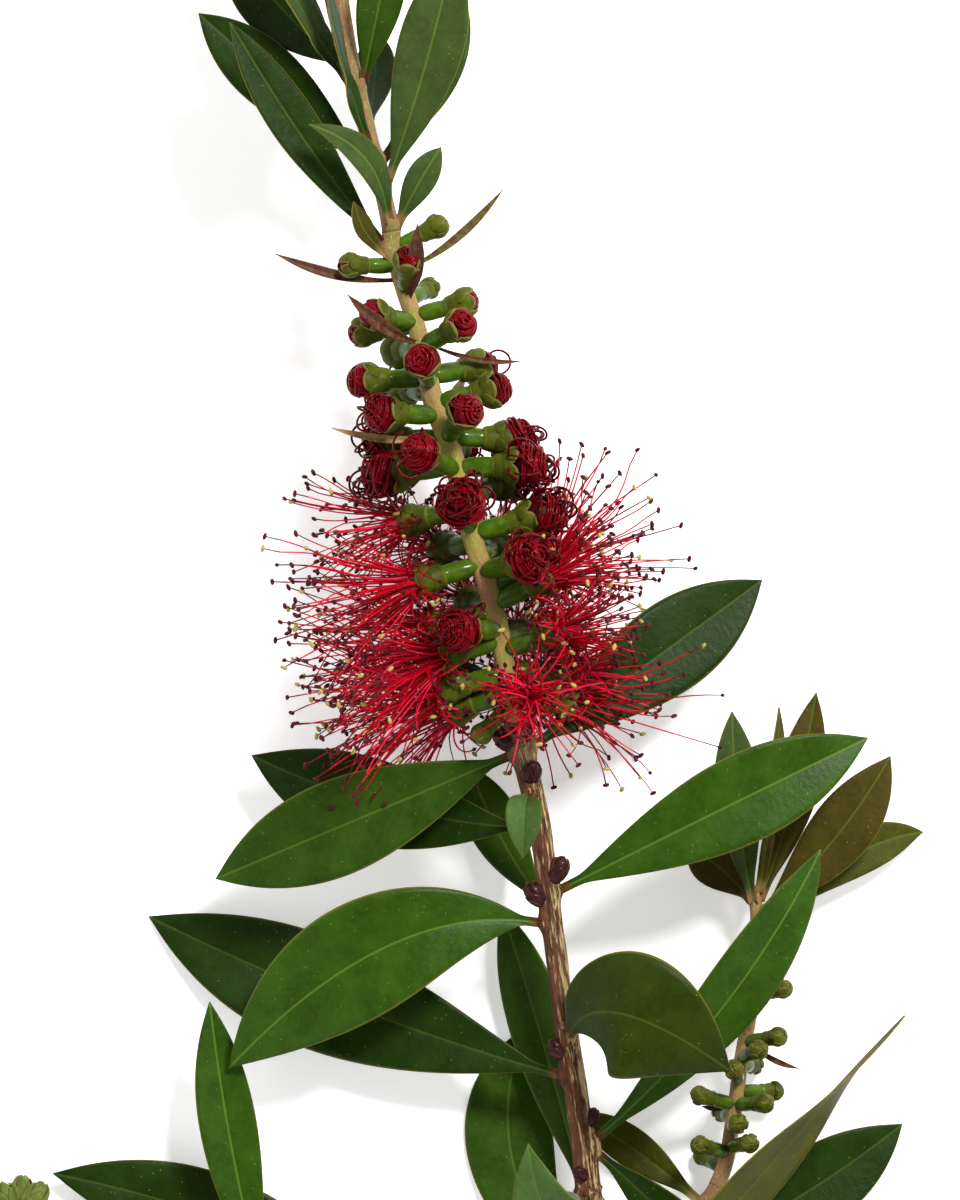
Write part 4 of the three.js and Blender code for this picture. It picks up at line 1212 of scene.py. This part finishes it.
def filament_path(mouth, out, ring, direction, length, draw):
    """One filament from the rim of a cup, bending out to its direction and slightly wavy."""
    share = np.linspace(0, 1, FILAMENT_STEPS + 1)
    start = mouth + ring * 1.35 - out
    lean = unit(out + direction * 0.55)
    line = bezier([start, start + lean * length * 0.38, start + direction * length], share)
    for sideways in across(direction):
        swing = draw.gauss(0, 0.032 * length)
        wave = np.sin(math.pi * share * draw.uniform(0.8, 1.9))
        line = line + (sideways * swing) * (wave * share)[:, None]
    if draw.random() < 0.16:
        crook = draw.uniform(1.0, 3.4)
        line = line + (across(direction)[0] * crook) * (smooth(0.6, 1.0, share) ** 2)[:, None]
    return line


def curled_path(mouth, out, ring, length, draw):
    """A filament that is still curled over beside its cup."""
    share = np.linspace(0, 1, FILAMENT_STEPS + 1)
    direction = unit(out * draw.uniform(0.5, 1.2) + ring * draw.uniform(-0.7, 1.1))
    bend = unit(np.cross(direction, ring + 0.4 * out) * draw.choice((-1, 1))
                + 0.5 * ring * draw.uniform(-1, 1))
    curl = draw.uniform(1.6, 4.2)
    reach = length / curl
    angle = share * curl
    return (mouth + ring * 1.2 - out * 0.8 + reach * (np.sin(angle)[:, None] * direction
                                                      + (1 - np.cos(angle))[:, None] * bend))


def open_paths(seat, lift, openness, draw):
    """All the filaments of an open flower, the spread ones first."""
    grown = (openness - OPEN) / (1 - OPEN)
    length = sizes().filament_length / MM * (0.5 + 0.5 * grown)
    count, curls = sizes().filaments, sizes().curls
    mouth = seat.point + seat.out * (seat.radius + CUP_MOUTH)
    first, second = across(seat.out)
    spread = math.radians(28 + 14 * grown)
    if seat.out[2] > FACING:
        count, curls, spread = count // 3, curls * 3, math.radians(80)
    elif lift < HANGING:
        count = count // 2
    elif grown < 0.5:
        curls = curls * 2
    paths = []
    for i in range(count + curls):
        around = i * math.pi * (3 - math.sqrt(5)) + draw.uniform(-0.2, 0.2)
        ring = math.cos(around) * first + math.sin(around) * second
        if i >= count:
            paths.append(curled_path(mouth, seat.out, ring, draw.uniform(5, 12), draw))
            continue
        cone = spread * math.sqrt((i + 0.5) / count)
        direction = unit(math.cos(cone) * seat.out + math.sin(cone) * ring)
        reach = length * draw.uniform(0.5, 1.04) * (0.86 + 0.14 * math.cos(cone))
        paths.append(filament_path(mouth, seat.out, ring, direction, reach, draw))
    return paths


# ---------------------------------------------------------------- operators


class PieceMaker:
    """What the operators that make pieces share."""

    bl_options = {"REGISTER", "UNDO"}

    @classmethod
    def poll(cls, context):
        return context.scene is not None


class BRANCH_OT_wood(PieceMaker, bpy.types.Operator):
    """Makes the woody main stem, from its flat cut to the spike"""

    bl_idname = "branch.wood"
    bl_label = "Wood"

    def execute(self, context):
        heap = Heap("grain")
        add_stem(heap, "axis", AXIS[0][1], WOOD_END - OVERLAP, 48, 300, 0.14, SCARS, end_slot=1)
        heap.piece("bark_main_stem", [bark(), cut_wood()], "wood", ["main_stem"])
        return {"FINISHED"}


class BRANCH_OT_shoots(PieceMaker, bpy.types.Operator):
    """Makes the young stems: the leafy tip, the right branch and the left shoot"""

    bl_idname = "branch.shoots"
    bl_label = "Shoots"

    def execute(self, context):
        young_stem("tip_shoot", "tip_stem", axis_bark(), "axis", SPIKE_END, AXIS[-1][1],
                   28, 150, 0.12)
        young_stem("right_shoot", "right_stem", shoot_bark("Branch bark", 0.7, 1, 0.46), "right",
                   RIGHT[0][1], BUDS_START, 28, 90, 0.1)
        young_stem("left_shoot", "left_stem", shoot_bark("Shoot bark", 0.6, 0.6, 0.5), "left",
                   LEFT[0][0], LEFT[-1][0], 28, 220, 0.1)
        return {"FINISHED"}


class BRANCH_OT_spike_axis(PieceMaker, bpy.types.Operator):
    """Makes the axis of the flower spike and that of the spike of closed buds"""

    bl_idname = "branch.spike_axis"
    bl_label = "Spike axes"

    def execute(self, context):
        young_stem("spike_axis", "flower_spike", axis_bark(), "axis", WOOD_END - OVERLAP,
                   SPIKE_END, 32, 220, 0.16)
        young_stem("bud_axis", "bud_spike", shoot_bark("Bud spike bark", 1.1, 1.1, 0.42), "right",
                   BUDS_START, RIGHT[-1][1], 28, 130, 0.14)
        return {"FINISHED"}


class BRANCH_OT_leaves(PieceMaker, bpy.types.Operator):
    """Makes every leaf, each a piece of its own"""

    bl_idname = "branch.leaves"
    bl_label = "Leaves"

    def execute(self, context):
        for row in LEAVES:
            name, _, _, _, _, width, foot_roll, tip_roll, rise, tint = row
            make_leaf(name, leaf_midrib(row), width, UP, (foot_roll, tip_roll), rise, tint)
        for row in TURNED_LEAVES:
            name, _, _, _, _, face, width, rise, tint = row
            make_leaf(name, turned_midrib(row), width, unit(np.array(face)), (0, 0), rise, tint)
        return {"FINISHED"}


class BRANCH_OT_cups(PieceMaker, bpy.types.Operator):
    """Makes the green cups and petals of the flowers and of the closed buds"""

    bl_idname = "branch.cups"
    bl_label = "Cups and petals"

    def execute(self, context):
        for name, stem, rows, slot in (
            ("flower", "axis", FLOWERS, "calyx"),
            ("bud", "right", [(*row, 0.0) for row in GREEN_BUDS], "green_bud"),
        ):
            cups, petals = Heap(), Heap()
            for i, (place, turn, lift, openness) in enumerate(rows):
                seat = STEMS[stem].seat(place, turn, lift)
                size = grown_share(openness)
                add_cup(cups, seat, size, head_share(openness))
                add_petals(petals, seat, size, openness, i)
            cups.piece(f"{name}_cups", cup_materials(), slot)
            petals.piece(f"{name}_petals", petal_materials(), slot)
        return {"FINISHED"}


class BRANCH_OT_coils(PieceMaker, bpy.types.Operator):
    """Makes the stamens that are still coiled in the flowers about to open"""

    bl_idname = "branch.coils"
    bl_label = "Coiled stamens"

    def execute(self, context):
        upper, lower = Heap(), Heap()
        core, thread = ball(14, 9), rod(5, COIL_STEPS)
        width = sizes().coil_width / MM / 2
        for i, (place, turn, lift, openness) in enumerate(FLOWERS):
            if openness >= OPEN:
                continue
            heap = upper if place > COILS_MEET else lower
            draw = random.Random(COIL_SEED + i)
            seat = STEMS["axis"].seat(place, turn, lift)
            centre, radius, paths = coil_paths(seat, grown_share(openness), openness, draw)
            heap.add(core, centre + core.points * radius * COIL_CORE, 2)
            paths = np.array(paths + loose_paths(centre, radius, seat.out, openness, draw))
            radii = np.full(paths.shape[:2], width * (0.75 + 0.25 * radius / LARGEST_BALL))
            made = sweep(thread, paths, radii)
            light = len(paths) * 2 // 3
            heap.add(thread, made[:light], 0)
            heap.add(thread, made[light:], 1)
        materials = coil_materials()
        upper.piece("coiled_stamens_upper", materials, "stamen")
        lower.piece("coiled_stamens_lower", materials, "stamen")
        return {"FINISHED"}


class BRANCH_OT_filaments(PieceMaker, bpy.types.Operator):
    """Makes the open flowers' filaments with the anther across each tip"""

    bl_idname = "branch.filaments"
    bl_label = "Filaments and anthers"

    def execute(self, context):
        filaments, anthers = Heap(), Heap()
        radii = sizes().filament_width / MM / 2 * np.linspace(1.0, 0.58, FILAMENT_STEPS + 1)
        draw = random.Random(FILAMENT_SEED)
        form = rod(4, FILAMENT_STEPS)
        for place, turn, lift, openness in FLOWERS:
            if openness < OPEN:
                continue
            seat = STEMS["axis"].seat(place, turn, lift)
            paths = settle(np.array(open_paths(seat, lift, openness, draw)))
            for one in sweep(form, paths, np.broadcast_to(radii, paths.shape[:2])):
                # deals each filament at random one of three reds: plain, painted highlight, painted
                # shade
                body = draw.choice((0, 0, 1, 2))
                filaments.add(form, one, np.where(form.middles[:, 2] > 0.9, 3, body))
            self.add_anthers(anthers, paths, draw)
        filaments.piece("filaments", stamen_materials(), "stamen")
        anthers.piece("anthers", [skin("Anther", tuple(colours().anther), 0.45, 0.3, 2000.0),
                                  skin("Pollen", tuple(colours().pollen), 0.7, 0.2, 2000.0)],
                      "anther")
        return {"FINISHED"}

    def add_anthers(self, heap, paths, draw):
        """Adds an anther across the tip of each path."""
        form = ball(6, 4)
        x, y, z = (form.points[:, k : k + 1] for k in range(3))
        half = sizes().anther_length / MM / 2
        for path in paths:
            onward = unit(path[-1] - path[-2])
            first, second = across(onward)
            turn = draw.uniform(0, math.tau)
            long = unit(first * math.cos(turn) + second * math.sin(turn)
                        + onward * draw.uniform(-0.6, 1.2))
            wide = unit(np.cross(long, second * math.cos(turn) - first * math.sin(turn)))
            deep = np.cross(long, wide)
            points = path[-1] + z * long * half + half * 0.56 * (x * wide + y * deep)
            points[:, 2] = np.maximum(points[:, 2], 0.05)
            heap.add(form, points, int(draw.random() < POLLEN_SHARE))


class BRANCH_OT_bracts(PieceMaker, bpy.types.Operator):
    """Makes the narrow bracts of the flower spike"""

    bl_idname = "branch.bracts"
    bl_label = "Bracts"

    def execute(self, context):
        names = sorted(BRACT_TINTS)
        heap = Heap("blade")
        for i, (place, turn, lift, length, width, tint) in enumerate(BRACTS):
            self.add_bract(heap, STEMS["axis"].seat(place, turn, lift), length, width,
                           names.index(tint), i)
        for i, (place, turn, lift, length) in enumerate(BUD_BRACTS):
            self.add_bract(heap, STEMS["right"].seat(place, turn, lift), length, BUD_BRACT_WIDTH,
                           names.index("red"), 20 + i)
        heap.piece("bracts", [bract_face(n) for n in names], "bract")
        return {"FINISHED"}

    def add_bract(self, heap, seat, length, width, slot, seed):
        """Adds a bract that bends up from its stem."""
        end = seat.point + seat.out * (length + seat.radius) + seat.along * length * 0.12
        middle = (seat.point + end) / 2 - seat.along * length * 0.16
        add_blade(heap, [seat.point + seat.out * seat.radius * 0.5, middle, end], width,
                  UP, (0, 0), 18, seed, 0.3, width / 3, (slot,) * 3)


BUD_SCALES = 9
GOLDEN_TURN = 137.5  # from each scale round to the next, in degrees


def scaly_bud(heap, centre, out, radius, tall, seed):
    """Adds a pointed bud of overlapping scales, stretched along its own axis."""
    draw = random.Random(seed)
    bud = Heap()
    core, scale = ball(12, 8), slab(5, 5)
    bud.add(core, core.points * radius * 0.97, 0)
    last = BUD_SCALES - 1
    for i in range(BUD_SCALES):
        tip = 2 + 64 * (1 - i / last) ** 0.8
        add_scale(bud, scale, np.zeros(3), UP, radius * (1.0 + 0.025 * (last - i)), tip, 150,
                  i * GOLDEN_TURN + draw.uniform(-8, 8), 50 - i, 0.12 * radius,
                  -0.02 * radius, 0.6)
    first, second = across(out)
    for points, corners, counts, slots, _ in bud.rows:
        x, y, z = (points[:, k : k + 1] for k in range(3))
        placed = centre + x * first + y * second + z * tall * out
        made = Form(points, corners - corners.min(), counts, None)
        heap.add(made, placed, slots)


class BRANCH_OT_scaly_buds(PieceMaker, bpy.types.Operator):
    """Makes the brown buds in the axils and the leaf bud that ends the left shoot"""

    bl_idname = "branch.scaly_buds"
    bl_label = "Scaly buds"

    def execute(self, context):
        heap = Heap()
        for i, (place, turn, size) in enumerate(AXIL_BUDS):
            seat = STEMS["axis"].seat(place, turn, AXIL_LIFT)
            centre = seat.point + seat.out * (seat.radius * 0.9 + 1.3 * size)
            scaly_bud(heap, centre, seat.out, 1.35 * size, 1.55, i)
        heap.piece("axil_buds", [skin("Bud scale", paint(48, 19, 19), 0.4, 0.35, 1500.0, 0.1),
                                 skin("Bud scale rim", paint(98, 62, 52), 0.7)], "wood")
        end = Heap()
        for i, (offset, turn) in enumerate(END_SCALES):
            out = unit(np.array([math.sin(math.radians(turn)), math.cos(math.radians(turn)), 0.15]))
            centre = np.array(LEFT[-1]) + np.array(offset) + out * 1.5
            scaly_bud(end, centre, out, 1.6, 1.6, 40 + i)
        end.piece("end_bud", [skin("Green scale", paint(88, 100, 42), 0.45, 0.3, 600.0),
                              skin("Green scale rim", paint(120, 84, 54), 0.65)], "green_bud")
        return {"FINISHED"}


# The stage, in metres in the part's frame.
FLOOR_HALF = 3.0  # half the surface's width
KEY_SIZE = 0.3  # width of the round lamp
KEY_PLACE = (0.45, 0.62, 1.0)
KEY_AIM = (0.01, 0.0, 0.02)
SENSOR = 36  # in mm, like the lens
VIEW_LENGTH = 0.18  # length of the branch that the longer side of the view takes in
VIEW_LEVEL = 0.02  # height at which it does


class BRANCH_OT_stage(bpy.types.Operator):
    """Makes the surface, the light and the camera"""

    bl_idname = "branch.stage"
    bl_label = "Stage"

    def execute(self, context):
        self.make_floor(context)
        self.make_light(context)
        self.make_camera(context)
        return {"FINISHED"}

    def make_floor(self, context):
        bm = bmesh.new()
        bmesh.ops.create_grid(bm, x_segments=1, y_segments=1, size=FLOOR_HALF)
        mesh = bpy.data.meshes.new("floor")
        bm.to_mesh(mesh)
        bm.free()
        material, _, shader = material_of("Surface", 0.9, Specular_IOR_Level=0.1)
        settings = context.scene.stage_settings
        shader.inputs["Base Color"].default_value = (*settings.floor, 1)
        shader.inputs["Emission Color"].default_value = (1, 1, 1, 1)
        shader.inputs["Emission Strength"].default_value = settings.glow
        mesh.materials.append(material)
        floor = bpy.data.objects.new("floor", mesh)
        context.scene.collection.objects.link(floor)

    def make_light(self, context):
        settings = context.scene.stage_settings
        world = bpy.data.worlds.new("Dome")
        world.use_nodes = True
        tree = world.node_tree
        direction = put(tree, "ShaderNodeTexCoord").outputs["Generated"]
        height = put(tree, "ShaderNodeSeparateXYZ", {0: direction}).outputs[2]
        shade = step(tree, height, 0.6, 0.95)
        strength = sums(tree, "MULTIPLY_ADD", shade, settings.zenith - settings.dome,
                        settings.dome)
        tree.links.new(strength, tree.nodes["Background"].inputs["Strength"])
        tree.nodes["Background"].inputs["Color"].default_value = (1, 1, 1, 1)
        context.scene.world = world
        lamp = bpy.data.lights.new("key", "AREA")
        lamp.shape = "DISK"
        lamp.size = KEY_SIZE
        lamp.energy = settings.key
        key = bpy.data.objects.new("key", lamp)
        context.scene.collection.objects.link(key)
        key.location = KEY_PLACE
        aim = Vector(KEY_AIM) - key.location
        key.rotation_euler = aim.to_track_quat("-Z", "Y").to_euler()

    def make_camera(self, context):
        lens = context.scene.stage_settings.lens
        data = bpy.data.cameras.new("camera")
        data.lens = lens
        data.sensor_width = SENSOR
        data.clip_end = 20
        camera = bpy.data.objects.new("camera", data)
        context.scene.collection.objects.link(camera)
        distance = VIEW_LENGTH * lens / SENSOR
        camera.location = (-ORIGIN[0] * MM, -ORIGIN[1] * MM, VIEW_LEVEL + distance)
        context.scene.camera = camera
        context.scene.view_settings.view_transform = "Standard"


class BRANCH_PT_panel(bpy.types.Panel):
    """The branch's settings and makers"""

    bl_idname = "BRANCH_PT_panel"
    bl_label = "Bottlebrush branch"
    bl_space_type = "VIEW_3D"
    bl_region_type = "UI"
    bl_category = "Bottlebrush"

    def draw(self, context):
        for group in (context.scene.branch_sizes, context.scene.branch_colours,
                      context.scene.stage_settings):
            box = self.layout.box()
            for name in group.__annotations__:
                box.prop(group, name)
        for maker in MAKERS:
            self.layout.operator(maker.bl_idname)


MAKERS = (BRANCH_OT_wood, BRANCH_OT_shoots, BRANCH_OT_spike_axis, BRANCH_OT_leaves,
          BRANCH_OT_cups, BRANCH_OT_coils, BRANCH_OT_filaments, BRANCH_OT_bracts,
          BRANCH_OT_scaly_buds, BRANCH_OT_stage)
CLASSES = (BranchSizes, BranchColours, StageSettings, *MAKERS, BRANCH_PT_panel)


def register():
    for cls in CLASSES:
        bpy.utils.register_class(cls)
    bpy.types.Scene.branch_sizes = PointerProperty(type=BranchSizes)
    bpy.types.Scene.branch_colours = PointerProperty(type=BranchColours)
    bpy.types.Scene.stage_settings = PointerProperty(type=StageSettings)


def unregister():
    del bpy.types.Scene.stage_settings
    del bpy.types.Scene.branch_colours
    del bpy.types.Scene.branch_sizes
    for cls in reversed(CLASSES):
        bpy.utils.unregister_class(cls)


def main():
    register()
    bpy.ops.branch.wood()
    bpy.ops.branch.shoots()
    bpy.ops.branch.spike_axis()
    bpy.ops.branch.leaves()
    bpy.ops.branch.cups()
    bpy.ops.branch.coils()
    bpy.ops.branch.filaments()
    bpy.ops.branch.bracts()
    bpy.ops.branch.scaly_buds()
    bpy.ops.branch.stage()


if __name__ == "__main__":
    main()
